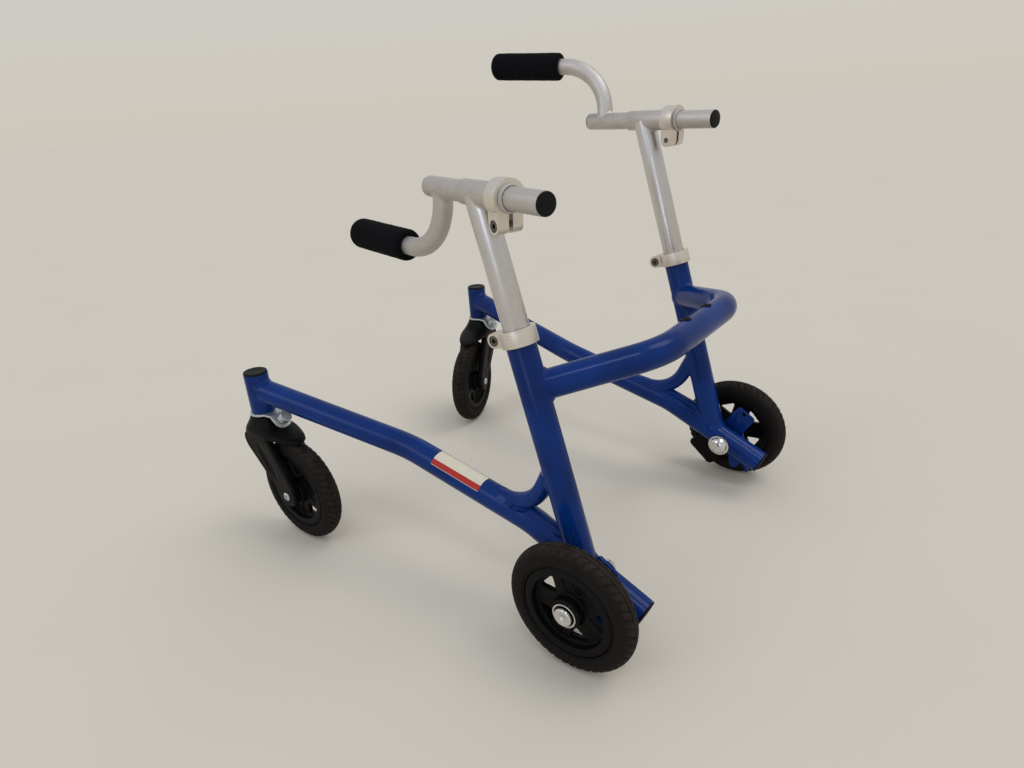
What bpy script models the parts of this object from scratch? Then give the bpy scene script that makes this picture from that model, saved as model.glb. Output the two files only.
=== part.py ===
"""A walker with two side frames, a rear crossbar, four wheels and two adjustable handles.

Metres, Z up, wheels on Z = 0. The walker faces -Y, its left side is +X.
The origin lies under the middle of the whole walker.
"""
import bpy
import bmesh
from math import cos, pi, radians, sin, tan
from mathutils import Matrix, Vector

# clearances
GAP = 0.0003
RUN = 0.0006

# wheels
WHEEL_R = 0.075
TYRE_HALF = 0.013
RIM_R = 0.0534
WELL_R = 0.0433
WEB_HALF = 0.0035
HUB_R = 0.0172
BEARING_R = 0.0140
AXLE_R = 0.0060
WHEEL_SIDES = 28
OPENINGS = 5
OPENING_ANGLE = radians(-4)
REAR_X = 0.2378
REAR_Y = 0.2300
REAR_HUB_HALF = 0.0140
CASTER_HUB_HALF = 0.0143

# swivel head and caster fork
CROWN_TOP = 2 * WHEEL_R + 0.0300
HEAD_X = 0.2380
HEAD_Y = REAR_Y - 0.5039
HEAD_R = 0.0162
HEAD_BORE = 0.0140
HEAD_BOTTOM = CROWN_TOP + 0.0052
HEAD_TOP = HEAD_BOTTOM + 0.0554
STEM_R = 0.0060
TRAIL = 0.0552
FORK_IN = 0.0153
FORK_OUT = 0.0260
FORK_ARCH_R = WHEEL_R + 0.0055
LEG_END_R = 0.0170
# reach to the front, reach to the rear and distance below the crown's top
FORK_DOME = ((0.0180, 0.0180, 0.0000), (0.0192, 0.0192, 0.0012), (0.0198, 0.0200, 0.0040),
             (0.0225, 0.0255, 0.0100), (0.0245, 0.0330, 0.0140), (0.0256, 0.0500, 0.0170),
             (0.0261, 0.0680, 0.0190), (0.0262, 0.0755, 0.0207), (0.0260, 0.0780, 0.0250))
HOOD_START = 0.0300
HOOD_FALL = 2.0
HOOD_TAPER = 6.5
LEFT_TRAIL_DEG = 90.0
RIGHT_TRAIL_DEG = 17.3

# side frames
TUBE_R = 0.0160
TUBE_BORE = 0.0143
RAIL = ((HEAD_X, HEAD_Y, HEAD_TOP - 0.0233), (0.1888, REAR_Y - 0.2676, WHEEL_R + 0.0927),
        (0.1850, REAR_Y - 0.0849, WHEEL_R + 0.0472), (0.1850, REAR_Y + 0.0558, WHEEL_R - 0.0202))
RAIL_BENDS = (0.214, 0.120)
RAIL_PLUG = 0.0030
UPRIGHT_X = 0.1871
UPRIGHT_FOOT_Y = REAR_Y - 0.0119
UPRIGHT_FOOT_Z = WHEEL_R
UPRIGHT_RAKE = 0.2776
UPRIGHT_BORE = 0.01440
CROSSBAR_Z = WHEEL_R + 0.2140
CROSSBAR_CORNER = (0.0932, REAR_Y + 0.0275, CROSSBAR_Z + 0.0252)
CROSSBAR_BEND = 0.0702
INSERT_X = 0.0285
AXLE_PLATE_T = 0.0040
PLATE_X = UPRIGHT_X + TUBE_R + GAP
GUSSET_R = 0.0100
GUSSET_X = 0.1863
STRUT_R = 0.0080

# swivel lock
PLATE_T = 0.0030
PLATE_TOP = HEAD_BOTTOM - GAP
LOCK_TURN = radians(8)
TAB_ANGLE = radians(50)
TAB_START = 0.0270
TAB_LENGTH = 0.0230
TAB_HALF = 0.0130
KNOB_R = 0.0084

# height post
COLLAR_MID_Z = WHEEL_R + 0.2680
COLLAR_H = 0.0170
COLLAR_R = 0.0197
LIP = 0.0040
EAR_R = 0.0082
EAR_HALF = 0.0080
COLLAR_SCREW_OUT = 0.0275
COLLAR_SLIT = 0.0020
POST_R = 0.0140
POST_WALL = 0.0015
POST_LENGTH = 0.2850
SCREW_R = 0.0030
SCREW_HEAD_R = 0.0052

# handle
SLIDE_R = 0.0110
SLIDE_WALL = 0.0015
SLIDE_LENGTH = 0.1997
SLIDE_AHEAD = 0.0929
SLEEVE_R = 0.0126
SLEEVE_BORE = 0.01145
SLEEVE_FROM = 0.0700
CLAMP_FROM = 0.1300
CLAMP_W = 0.0170
CLAMP_R = 0.0180
CLAMP_SCREW_DOWN = 0.0242
CLAMP_EAR_HALF = 0.0140
CLAMP_SLIT = 0.0046
LINER_R = 0.0142
NECK_R = 0.0108
NECK_FROM = 0.0235
NECK_DROP = 0.0733
NECK_BEND = 0.0700
GRIP_FROM = 0.0801
GRIP_TO = 0.1906
GRIP_R = 0.0187
GRIP_TILT = radians(2.4)
LEFT_HANDLE = {"z": COLLAR_MID_Z + 0.1391, "yaw": 18.2, "roll": 2.8, "grip_yaw": -7.4, "up": -1, "pitch": -0.75}
RIGHT_HANDLE = {"z": COLLAR_MID_Z + 0.1821, "yaw": 10.0, "roll": -17.5, "grip_yaw": 20.2, "up": 1, "pitch": -0.25}

SIDES = (("left", 1.0), ("right", -1.0))


def clear_scene():
    for obj in list(bpy.data.objects):
        bpy.data.objects.remove(obj)


def collection(name):
    found = bpy.data.collections.get(name)
    if found is None:
        found = bpy.data.collections.new(name)
        bpy.context.scene.collection.children.link(found)
    return found


def material(name, colour, roughness, metallic):
    found = bpy.data.materials.get(name)
    if found:
        return found
    made = bpy.data.materials.new(name)
    made.use_nodes = True
    shader = made.node_tree.nodes["Principled BSDF"]
    shader.inputs["Base Color"].default_value = (*colour, 1.0)
    shader.inputs["Roughness"].default_value = roughness
    shader.inputs["Metallic"].default_value = metallic
    return made


def blue_paint():
    return material("blue_powder_coat", (0.010, 0.036, 0.190), 0.30, 0.0)


def satin_aluminium():
    return material("satin_aluminium", (0.62, 0.59, 0.54), 0.38, 1.0)


def zinc_steel():
    return material("zinc_plated_steel", (0.56, 0.58, 0.60), 0.34, 1.0)


def chromed_steel():
    return material("chromed_steel", (0.70, 0.70, 0.71), 0.16, 1.0)


def dark_steel():
    return material("dark_screw_steel", (0.12, 0.12, 0.13), 0.40, 1.0)


def black_moulding():
    return material("black_moulded_plastic", (0.014, 0.013, 0.013), 0.42, 0.0)


def black_cap_plastic():
    return material("black_cap_plastic", (0.012, 0.012, 0.014), 0.50, 0.0)


def tyre_rubber():
    return material("tyre_rubber", (0.020, 0.017, 0.015), 0.72, 0.0)


def grip_foam():
    return material("grip_foam", (0.007, 0.006, 0.008), 0.95, 0.0)


def liner_plastic():
    return material("grey_liner_plastic", (0.42, 0.43, 0.45), 0.45, 0.0)


def link(obj, mat=None):
    home = collection("rear_crossbar_walker") if mat else collection("cutters")
    home.objects.link(obj)
    if mat:
        obj.data.materials.clear()
        obj.data.materials.append(mat)
    else:
        obj.hide_render = True
        obj.display_type = "WIRE"
    return obj


def evaluated_mesh(obj):
    """The mesh of an object with its modifiers applied, welded where parts meet."""
    bpy.context.view_layer.update()
    graph = bpy.context.evaluated_depsgraph_get()
    mesh = bpy.data.meshes.new_from_object(obj.evaluated_get(graph))
    mesh.transform(obj.matrix_world)
    work = bmesh.new()
    work.from_mesh(mesh)
    bmesh.ops.remove_doubles(work, verts=work.verts, dist=0.000005)
    bmesh.ops.recalc_face_normals(work, faces=work.faces)
    work.to_mesh(mesh)
    work.free()
    return mesh


def bake(obj, name):
    """A plain object at the origin with the finished mesh of the given one, which goes."""
    mesh = evaluated_mesh(obj)
    mesh.name = name
    bpy.data.objects.remove(obj)
    return bpy.data.objects.new(name, mesh)


def rounded_path(points, bends, steps=9):
    """Points along straight runs joined by arcs, each bend with its own radius."""
    pts = [Vector(p) for p in points]
    path = [pts[0]]
    for i, bend in enumerate(bends):
        a, b, c = pts[i], pts[i + 1], pts[i + 2]
        back, ahead = (a - b).normalized(), (c - b).normalized()
        turn = pi - back.angle(ahead)
        reach = bend * tan(turn / 2)
        start = b + back * reach
        side = (ahead + back).normalized()
        centre = b + side * (bend / cos(turn / 2))
        normal = back.cross(ahead).normalized()
        for k in range(steps + 1):
            spin = Matrix.Rotation(-turn * k / steps, 3, normal)
            path.append(centre + spin @ (start - centre))
    path.append(pts[-1])
    return path


def tube(name, path, radius, sides=16):
    """A solid round tube along a path, with filled ends."""
    data = bpy.data.curves.new(name, "CURVE")
    data.dimensions = "3D"
    data.twist_mode = "MINIMUM"
    data.bevel_depth = radius
    data.bevel_resolution = sides // 2 - 2
    data.resolution_u = 1
    data.use_fill_caps = True
    spline = data.splines.new("POLY")
    spline.points.add(len(path) - 1)
    for point, place in zip(spline.points, path):
        point.co = (*place, 1.0)
    obj = link(bpy.data.objects.new(name, data))
    return link(bake(obj, name))


def bore_of(path, radius, over=0.004, sides=8):
    """The inside of a tube, running a little past both ends."""
    first = path[0] + (path[0] - path[1]).normalized() * over
    last = path[-1] + (path[-1] - path[-2]).normalized() * over
    return tube("tube_bore", [first] + path[1:-1] + [last], radius, sides)


def rod(name, start, end, radius, sides=24):
    """A straight solid cylinder between two points."""
    start, end = Vector(start), Vector(end)
    mesh = bpy.data.meshes.new(name)
    work = bmesh.new()
    bmesh.ops.create_cone(work, cap_ends=True, segments=sides, radius1=radius, radius2=radius,
                          depth=(end - start).length)
    work.to_mesh(mesh)
    work.free()
    obj = bpy.data.objects.new(name, mesh)
    turn = (end - start).to_track_quat("Z", "Y").to_matrix().to_4x4()
    mesh.transform(Matrix.Translation((start + end) / 2) @ turn)
    return link(obj)


def turned(name, profile, origin, axis, sides=32, closed=True):
    """A profile of (radius, distance along the axis) points spun round the axis."""
    mesh = bpy.data.meshes.new(name)
    points = [(r, 0.0, h) for r, h in profile]
    edges = [(i, i + 1) for i in range(len(points) - 1)]
    if closed:
        edges.append((len(points) - 1, 0))
    mesh.from_pydata(points, edges, [])
    obj = link(bpy.data.objects.new(name, mesh))
    screw = obj.modifiers.new("turn", "SCREW")
    screw.steps = sides
    screw.render_steps = sides
    screw.use_merge_vertices = True
    screw.merge_threshold = 0.000005
    obj = link(bake(obj, name))
    turn = Vector(axis).to_track_quat("Z", "Y").to_matrix().to_4x4()
    obj.data.transform(Matrix.Translation(Vector(origin)) @ turn)
    return obj


def flat(name, outline, thickness, place, bevel=0.0, steps=2):
    """A flat outline filled and given a thickness along its own Z, then set in place."""
    data = bpy.data.curves.new(name, "CURVE")
    data.dimensions = "2D"
    data.fill_mode = "BOTH"
    data.extrude = thickness / 2
    spline = data.splines.new("POLY")
    spline.points.add(len(outline) - 1)
    for point, (x, y) in zip(spline.points, outline):
        point.co = (x, y, 0.0, 1.0)
    spline.use_cyclic_u = True
    obj = link(bpy.data.objects.new(name, data))
    obj = link(bake(obj, name))
    if bevel:
        edge = obj.modifiers.new("edge", "BEVEL")
        edge.width = bevel
        edge.segments = steps
        edge.limit_method = "ANGLE"
        edge.angle_limit = radians(50)
        obj = link(bake(obj, name))
    obj.data.transform(place)
    return obj


def combine(obj, other, operation, keep=False):
    """Cuts or joins one solid with another and keeps one plain object."""
    name = obj.name
    step = obj.modifiers.new("combine", "BOOLEAN")
    step.operation = operation
    step.solver = "EXACT"
    step.object = other
    obj.name = name + "_before"
    made = link(bake(obj, name))
    if not keep:
        bpy.data.objects.remove(other)
    return made


def cut(obj, *others, keep=False):
    for other in others:
        obj = combine(obj, other, "DIFFERENCE", keep)
    return obj


def join(obj, *others):
    for other in others:
        obj = combine(obj, other, "UNION")
    return obj


def finish(obj, name, mat, smooth=35):
    """Gives a solid its final name, material and shading."""
    for owner in list(obj.users_collection):
        owner.objects.unlink(obj)
    obj.name = name
    obj.data.name = name
    obj.hide_render = False
    obj.display_type = "TEXTURED"
    link(obj, mat)
    obj.data.shade_smooth()
    obj.data.set_sharp_from_angle(angle=radians(smooth))
    return obj


def set_origin(obj, place):
    """Moves an object's origin to a point on its joint axis, leaving the solid in place."""
    place = Vector(place)
    obj.data.transform(Matrix.Translation(-place))
    obj.location = place
    return obj


def frame_of(x_dir, z_dir, origin):
    """A matrix whose Z and X run along the given directions."""
    z = Vector(z_dir).normalized()
    x = Vector(x_dir)
    x = (x - z * x.dot(z)).normalized()
    y = z.cross(x)
    turn = Matrix((x, y, z)).transposed().to_4x4()
    return Matrix.Translation(Vector(origin)) @ turn


def arc(centre, radius, start, end, steps):
    """Points on an arc from one angle to another, in degrees."""
    spots = []
    for k in range(steps + 1):
        angle = radians(start + (end - start) * k / steps)
        spots.append((centre[0] + radius * cos(angle), centre[1] + radius * sin(angle)))
    return spots


def mirrored(point, side):
    return Vector((point[0] * side, point[1], point[2]))


# Side frames

def upright_point(side, z):
    y = UPRIGHT_FOOT_Y - UPRIGHT_RAKE * (z - UPRIGHT_FOOT_Z)
    return Vector((UPRIGHT_X * side, y, z))


def upright_dir():
    return Vector((0.0, -UPRIGHT_RAKE, 1.0)).normalized()


def rail_path(side):
    return rounded_path([mirrored(p, side) for p in RAIL], RAIL_BENDS, 3)


def rail_cutter(side):
    path = rail_path(side)
    last = (path[-1] - path[-2]).normalized()
    return tube("rail_cutter", path[:-1] + [path[-1] + last * 0.02], TUBE_R + GAP)


def upright_cutter(side):
    start, end = upright_point(side, UPRIGHT_FOOT_Z), upright_point(side, COLLAR_MID_Z)
    return rod("upright_cutter", start, end, TUBE_R + GAP, 24)


def axle_cutter(side):
    inner, outer = ((UPRIGHT_X - 0.04) * side, REAR_Y, WHEEL_R), ((REAR_X + 0.03) * side, REAR_Y, WHEEL_R)
    return rod("axle_cutter", inner, outer, AXLE_R + 2 * GAP, 16)


def head_cutter(side):
    low, high = (HEAD_X * side, HEAD_Y, HEAD_BOTTOM - 0.03), (HEAD_X * side, HEAD_Y, HEAD_TOP + 0.03)
    return rod("head_cutter", low, high, HEAD_R + GAP, 24)


def rail(name, side):
    path = rail_path(side)
    body = tube(name, path, TUBE_R)
    body = cut(body, bore_of(path, TUBE_BORE))
    head = head_cutter(side)
    body = cut(body, head, axle_cutter(side))
    finish(body, name, blue_paint())


def rail_plug(name, side):
    path = rail_path(side)
    away = (path[-1] - path[-2]).normalized()
    inner = TUBE_BORE * cos(pi / 8) - GAP
    profile = [(0, RAIL_PLUG), (TUBE_R - 0.0012, RAIL_PLUG), (TUBE_R - 0.0002, RAIL_PLUG - 0.001),
               (TUBE_R - 0.0002, GAP), (inner, GAP), (inner - 0.0004, -0.008), (0, -0.008)]
    body = turned(name, profile, path[-1], away, 18, False)
    finish(body, name, black_cap_plastic())


def upright(name, side):
    top = upright_point(side, COLLAR_MID_Z) + upright_dir() * (COLLAR_H / 2 - LIP - RUN)
    foot = upright_point(side, UPRIGHT_FOOT_Z + 0.010)
    body = rod(name, foot, top, TUBE_R, 24)
    bore = rod("bore", foot - upright_dir() * 0.01, top + upright_dir() * 0.01, UPRIGHT_BORE, 24)
    body = cut(body, bore, rail_cutter(side))
    finish(body, name, blue_paint())


def crossbar_path():
    ends = [upright_point(1, CROSSBAR_Z), upright_point(-1, CROSSBAR_Z)]
    corner = Vector(CROSSBAR_CORNER)
    return rounded_path([ends[0], corner, mirrored(corner, -1), ends[1]], (CROSSBAR_BEND, CROSSBAR_BEND), 6)


def crossbar_normal():
    rise = Vector(CROSSBAR_CORNER) - upright_point(1, CROSSBAR_Z)
    return Vector((0, -rise.z, rise.y)).normalized()


def insert_top(side):
    return Vector((INSERT_X * side, CROSSBAR_CORNER[1], CROSSBAR_CORNER[2])) + crossbar_normal() * TUBE_R


def crossbar(name):
    path = crossbar_path()
    body = tube(name, path, TUBE_R)
    body = cut(body, bore_of(path, TUBE_BORE), upright_cutter(1), upright_cutter(-1))
    for _, side in SIDES:
        top = insert_top(side)
        hole = rod("hole", top - crossbar_normal() * 0.012, top + crossbar_normal() * 0.004, 0.0048, 12)
        body = cut(body, hole)
    finish(body, name, blue_paint())


def crossbar_insert(name, side):
    profile = [(0.0058, 0.0012), (0.0062, 0.0008), (0.0062, GAP), (0.0045, GAP),
               (0.0045, -0.011), (0.0026, -0.011), (0.0026, 0.0012)]
    body = turned(name, profile, insert_top(side), crossbar_normal(), 10)
    finish(body, name, dark_steel())


def gusset(name, side):
    """The curved brace in the corner of rail and upright, with the short strut welded under it."""
    spots = [(-0.1600, 0.0685), (-0.1220, 0.0652)]
    spots += arc((-0.1170, 0.1220), 0.0570, -95, -25, 6)
    spots += [(-0.0500, 0.1300)]
    path = [Vector((GUSSET_X * side, REAR_Y + y, WHEEL_R + z)) for y, z in spots]
    body = tube(name, path, GUSSET_R)
    start, end = Vector((GUSSET_X * side, REAR_Y - 0.1064, 0.0660)), Vector((GUSSET_X * side, REAR_Y - 0.0394, 0.0408))
    rise = Vector((0, 0, WHEEL_R))
    strut = rod("strut", start + rise, end + rise, STRUT_R, 16)
    body = join(body, strut)
    body = cut(body, rail_cutter(side), upright_cutter(side))
    finish(body, name, blue_paint())


def head_tube(name, side):
    profile = [(HEAD_R, HEAD_TOP), (HEAD_R, HEAD_BOTTOM), (HEAD_BORE, HEAD_BOTTOM), (HEAD_BORE, HEAD_TOP)]
    body = turned(name, profile, (HEAD_X * side, HEAD_Y, 0), (0, 0, 1), 24)
    finish(body, name, blue_paint())


def head_cap(name, side):
    profile = [(0, HEAD_TOP + 0.0032), (0.0145, HEAD_TOP + 0.0032), (0.0157, HEAD_TOP + 0.0020),
               (0.0158, HEAD_TOP + GAP), (HEAD_BORE - GAP, HEAD_TOP + GAP),
               (HEAD_BORE - 0.0006, HEAD_TOP - 0.0035), (0, HEAD_TOP - 0.0035)]
    body = turned(name, profile, (HEAD_X * side, HEAD_Y, 0), (0, 0, 1), 20, False)
    finish(body, name, black_cap_plastic())


def axle_plate(name, side):
    """A flat plate with a hole in its upper tab and a hook-shaped lower tab."""
    spots = [(-0.018, -0.0130), (-0.018, 0.0130), (-0.004, 0.0235), (-0.0018, 0.0285), (0.0128, 0.0484)]
    spots += [(0.0165, 0.0496), (0.0362, 0.0362), (0.0374, 0.0320), (0.0230, 0.0100), (0.0245, -0.0130)]
    spots += [(0.0348, -0.0525), (0.0330, -0.0546), (0.0310, -0.0544), (0.0250, -0.0432), (0.0220, -0.0424)]
    spots += [(0.0150, -0.0510), (0.0100, -0.0516), (0.0066, -0.0498), (0.0008, -0.0260)]
    middle = (PLATE_X + AXLE_PLATE_T / 2) * side
    place = Matrix(((0, 0, 1, middle), (1, 0, 0, REAR_Y), (0, 1, 0, WHEEL_R), (0, 0, 0, 1)))
    body = flat(name, spots, AXLE_PLATE_T, place)
    high, back = WHEEL_R + 0.0398, REAR_Y + 0.0216
    hole = rod("hole", (middle - 0.01, back, high), (middle + 0.01, back, high), 0.0032, 12)
    body = cut(body, axle_cutter(side), hole)
    finish(body, name, blue_paint())


def stop_block(name, side):
    """The moulded block between plate and wheel: a boss round the axle and an arm ahead of it."""
    spots = arc((0.0, 0.0), 0.0160, 100, -75, 7)
    spots += [(-0.0080, -0.0300), (-0.0210, -0.0550), (-0.0270, -0.0585), (-0.0330, -0.0580)]
    spots += [(-0.0370, -0.0535), (-0.0590, -0.0340), (-0.0615, -0.0300), (-0.0600, -0.0250)]
    spots += [(-0.0560, -0.0230), (-0.0540, -0.0190), (-0.0490, -0.0165), (-0.0220, -0.0030)]
    thick = 0.0120
    middle = (PLATE_X + AXLE_PLATE_T + 0.0022 + thick / 2) * side
    place = Matrix(((0, 0, 1, middle), (1, 0, 0, REAR_Y), (0, 1, 0, WHEEL_R), (0, 0, 0, 1)))
    body = flat(name, spots, thick, place, 0.0010, 1)
    inner = (PLATE_X + AXLE_PLATE_T + GAP) * side
    boss = rod("boss", (inner, REAR_Y, WHEEL_R), (middle, REAR_Y, WHEEL_R), 0.0130, 18)
    body = join(body, boss)
    body = cut(body, axle_cutter(side))
    finish(body, name, black_moulding())


def rear_axle(name, side):
    """The through bolt, with a domed head inboard, its washer, and a dished head outboard."""
    outer = REAR_X + 0.0197
    profile = [(0, 0.1578), (0.0040, 0.1581), (0.0085, 0.1596), (0.0120, 0.1626), (0.0136, 0.1668),
               (0.0150, 0.1670), (0.0150, 0.1685), (AXLE_R, 0.1685), (AXLE_R, outer - 0.0035),
               (0.0103, outer - 0.0035), (0.0105, outer - 0.0008), (0.0097, outer),
               (0.0060, outer - 0.0006), (0, outer - 0.0012)]
    body = turned(name, profile, (0, REAR_Y, WHEEL_R), (side, 0, 0), 16, False)
    finish(body, name, chromed_steel())


def lock_frame(side):
    """X across the bracket, Y towards its tab, Z up, at the swivel axis."""
    back = Vector((-sin(LOCK_TURN) * side, cos(LOCK_TURN), 0))
    across = Vector((back.y, -back.x, 0))
    return frame_of(across, (0, 0, 1), (HEAD_X * side, HEAD_Y, 0))


def tab_middle():
    half = TAB_LENGTH * 0.50
    return Vector((0, TAB_START + half * cos(TAB_ANGLE), PLATE_TOP - half * sin(TAB_ANGLE)))


def tab_normal():
    return Vector((0, sin(TAB_ANGLE), cos(TAB_ANGLE)))


def lock_bracket(name, side):
    place = lock_frame(side)
    across = Matrix(((0, 0, 1, 0), (1, 0, 0, 0), (0, 1, 0, 0), (0, 0, 0, 1)))
    low = PLATE_TOP - PLATE_T
    end = (TAB_START + TAB_LENGTH * cos(TAB_ANGLE), PLATE_TOP - TAB_LENGTH * sin(TAB_ANGLE))
    under = (end[0] - PLATE_T * sin(TAB_ANGLE), end[1] - PLATE_T * cos(TAB_ANGLE))
    bend = TAB_START - PLATE_T * tan(TAB_ANGLE / 2)
    strip = [(0.0, PLATE_TOP), (0.0, low), (bend, low), under, end, (TAB_START, PLATE_TOP)]
    body = flat(name, strip, 2 * TAB_HALF, place @ across)
    disc = rod("disc", place @ Vector((0, 0, low)), place @ Vector((0, 0, PLATE_TOP)), 0.0185, 24)
    body = join(body, disc)
    stem = rod("stem_hole", place @ Vector((0, 0, low - 0.01)), place @ Vector((0, 0, PLATE_TOP + 0.01)), 0.0075, 16)
    mid, out = tab_middle(), tab_normal()
    pin = rod("pin_hole", place @ (mid - out * 0.02), place @ (mid + out * 0.02), 0.0036, 10)
    body = cut(body, stem, pin)
    for edge in (-1, 1):
        corner = Vector((edge * TAB_HALF, end[0], end[1]))
        block = corner_cutter(corner, edge)
        block.data.transform(place)
        body = cut(body, block)
    finish(body, name, zinc_steel())


def corner_cutter(corner, edge):
    """A prism that rounds one lower corner of the tab."""
    size = 0.85 * TAB_HALF
    spots = [(edge * 0.004, -0.004)]
    spots += [(edge * 0.004, size)] + [(0.0, size)]
    for k in range(1, 4):
        angle = radians(90 * k / 4)
        spots.append((-edge * size * (1 - cos(angle)), size * (1 - sin(angle))))
    spots += [(-edge * size, 0.0), (-edge * size, -0.004)]
    down = Vector((0, cos(TAB_ANGLE), -sin(TAB_ANGLE)))
    place = Matrix(((1, 0, 0, corner.x), (0, -down.y, -tab_normal().y, corner.y),
                    (0, -down.z, -tab_normal().z, corner.z), (0, 0, 0, 1)))
    return flat("corner", spots, 0.03, place)


def lock_plunger(name, side):
    place = lock_frame(side)
    mid, out = place @ tab_middle(), (place.to_3x3() @ tab_normal()).normalized()
    profile = [(0, 0.0125), (KNOB_R - 0.001, 0.0125), (KNOB_R, 0.0115), (KNOB_R, 0.0035),
               (0.0062, 0.0030), (0.0062, 0.0006), (0.0032, 0.0006), (0.0032, -0.0060), (0.0024, -0.0075), (0, -0.0075)]
    body = turned(name, profile, mid, out, 16, False)
    set_origin(finish(body, name, chromed_steel()), mid)


# Wheels

def wheel_profile(hub_half, bore):
    half = [(bore, hub_half), (HUB_R, hub_half), (HUB_R + 0.0010, WEB_HALF), (WELL_R - 0.0010, WEB_HALF),
            (WELL_R, 0.0112), (RIM_R, 0.0112)]
    return half + [(r, -h) for r, h in reversed(half)]


def spoke_opening(angle, place):
    """A three-cornered prism with rounded corners, point towards the hub."""
    tips = [(0.0212, 0.0), (0.0385, 0.0128), (0.0385, -0.0128)]
    rounded = []
    for i, tip in enumerate(tips):
        a, b = Vector(tips[i - 1]), Vector(tips[(i + 1) % 3])
        here = Vector(tip)
        for k in range(3):
            t = k / 2
            p = here + (a - here).normalized() * 0.004
            q = here + (b - here).normalized() * 0.004
            rounded.append(tuple(p * (1 - t) ** 2 + here * 2 * t * (1 - t) + q * t ** 2))
    turn = Matrix.Rotation(angle, 4, "Z")
    return flat("opening", rounded, 0.03, place @ turn)


def wheel_place(centre, axis):
    """Z along the axle, X level and to the rear of the wheel."""
    z = Vector(axis).normalized()
    level = Vector((0, 0, 1)).cross(z)
    return frame_of(level, z, centre)


def rim(name, centre, axis, hub_half, bore):
    place = wheel_place(centre, axis)
    body = turned(name, wheel_profile(hub_half, bore), (0, 0, 0), (0, 0, 1), WHEEL_SIDES)
    body.data.transform(place)
    for k in range(OPENINGS):
        body = cut(body, spoke_opening(OPENING_ANGLE + 2 * pi * k / OPENINGS, place))
    set_origin(finish(body, name, black_moulding()), centre)


def tyre(name, centre, axis):
    seat = RIM_R + GAP
    half = [(seat, 0.0115), (RIM_R + 0.0066, TYRE_HALF), (WHEEL_R - 0.0056, 0.0121), (WHEEL_R - 0.0012, 0.0076),
            (WHEEL_R, 0.0022)]
    profile = half + [(r, -h) for r, h in reversed(half)]
    body = turned(name, profile, (0, 0, 0), (0, 0, 1), WHEEL_SIDES)
    body.data.transform(wheel_place(centre, axis))
    set_origin(finish(body, name, tyre_rubber()), centre)


def wheel_bearing(name, centre, axis):
    """The bearing cartridge through the hub, its bright rim standing proud outboard."""
    bore, outer, inner = AXLE_R + RUN, 0.0158, -REAR_HUB_HALF - 0.0004
    profile = [(BEARING_R, outer), (BEARING_R, inner), (bore, inner), (bore, outer - 0.0022),
               (BEARING_R - 0.0018, outer - 0.0022), (BEARING_R - 0.0018, outer)]
    body = turned(name, profile, (0, 0, 0), (0, 0, 1), 24)
    body.data.transform(wheel_place(centre, axis))
    set_origin(finish(body, name, chromed_steel()), centre)


def rear_wheel(label, side):
    centre, axis = (REAR_X * side, REAR_Y, WHEEL_R), (side, 0, 0)
    rim(f"{label}_rear_rim", centre, axis, REAR_HUB_HALF, BEARING_R + GAP)
    tyre(f"{label}_rear_tyre", centre, axis)
    wheel_bearing(f"{label}_rear_bearing", centre, axis)


# Caster forks

def trail_dir(side):
    angle = radians(LEFT_TRAIL_DEG if side > 0 else RIGHT_TRAIL_DEG)
    return Vector((cos(angle), sin(angle), 0))


def fork_place(side):
    """X across the fork, Y towards the wheel, Z up, at the swivel axis."""
    back = trail_dir(side)
    across = Vector((back.y, -back.x, 0))
    return frame_of(across, (0, 0, 1), (HEAD_X * side, HEAD_Y, 0))


def fork_leg(edge):
    """One swept leg, wide at the crown and round at the axle."""
    axle = (TRAIL, WHEEL_R)
    top, low = CROWN_TOP - 0.0225, WHEEL_R
    spots = [(-0.0185, top), (-0.0215, top - 0.0060), (-0.0205, top - 0.0140), (-0.0165, top - 0.0215)]
    spots += [(-0.0080, low + 0.0520), (0.0090, low + 0.0330), (0.0250, low + 0.0150)]
    spots += arc(axle, LEG_END_R, 170, 370, 7)
    spots += [(0.0690, low + 0.0180), (0.0580, low + 0.0370), (0.0470, low + 0.0540), (0.0385, top - 0.0130)]
    spots += [(0.0300, top)]
    middle = edge * (FORK_IN + FORK_OUT) / 2
    place = Matrix(((0, 0, 1, middle), (1, 0, 0, 0), (0, 1, 0, 0), (0, 0, 0, 1)))
    return flat("leg", spots, FORK_OUT - FORK_IN, place, 0.0036, 2)


def fork_dome():
    """The crown and hood in one: round on top, squarer and drawn out over the wheel below."""
    profile = [(0, CROWN_TOP)] + [(front, CROWN_TOP - down) for front, _, down in FORK_DOME]
    profile.append((0, profile[-1][1]))
    body = turned("dome", profile, (0, 0, 0), (0, 0, 1), 28, False)
    for v in body.data.vertices:
        reach, down = v.co.xy.length, CROWN_TOP - v.co.z
        if reach < 0.001:
            continue
        front, rear, _ = min(FORK_DOME, key=lambda row: abs(row[2] - down))
        power = 2.0 + min(down / 0.0200, 1.0)
        swell = (abs(v.co.x / reach) ** power + abs(v.co.y / reach) ** power) ** (-1 / power)
        v.co.x *= swell
        v.co.y *= swell * (rear / front if v.co.y > 0 else 1.0)
        back = max(v.co.y - HOOD_START, 0.0)
        v.co.x *= 1 - HOOD_TAPER * back
        v.co.z -= HOOD_FALL * back ** 2
    return body


def stem_profile():
    """The swivel stem moulded into the fork, with its bearing cartridge in the head tube."""
    race = HEAD_BORE - RUN
    high, low, foot = HEAD_TOP - 0.0051, HEAD_BOTTOM + 0.0018, CROWN_TOP - 0.0100
    return [(0, high), (race, high), (race, low), (STEM_R, low), (STEM_R, foot), (0, foot)]


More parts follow.
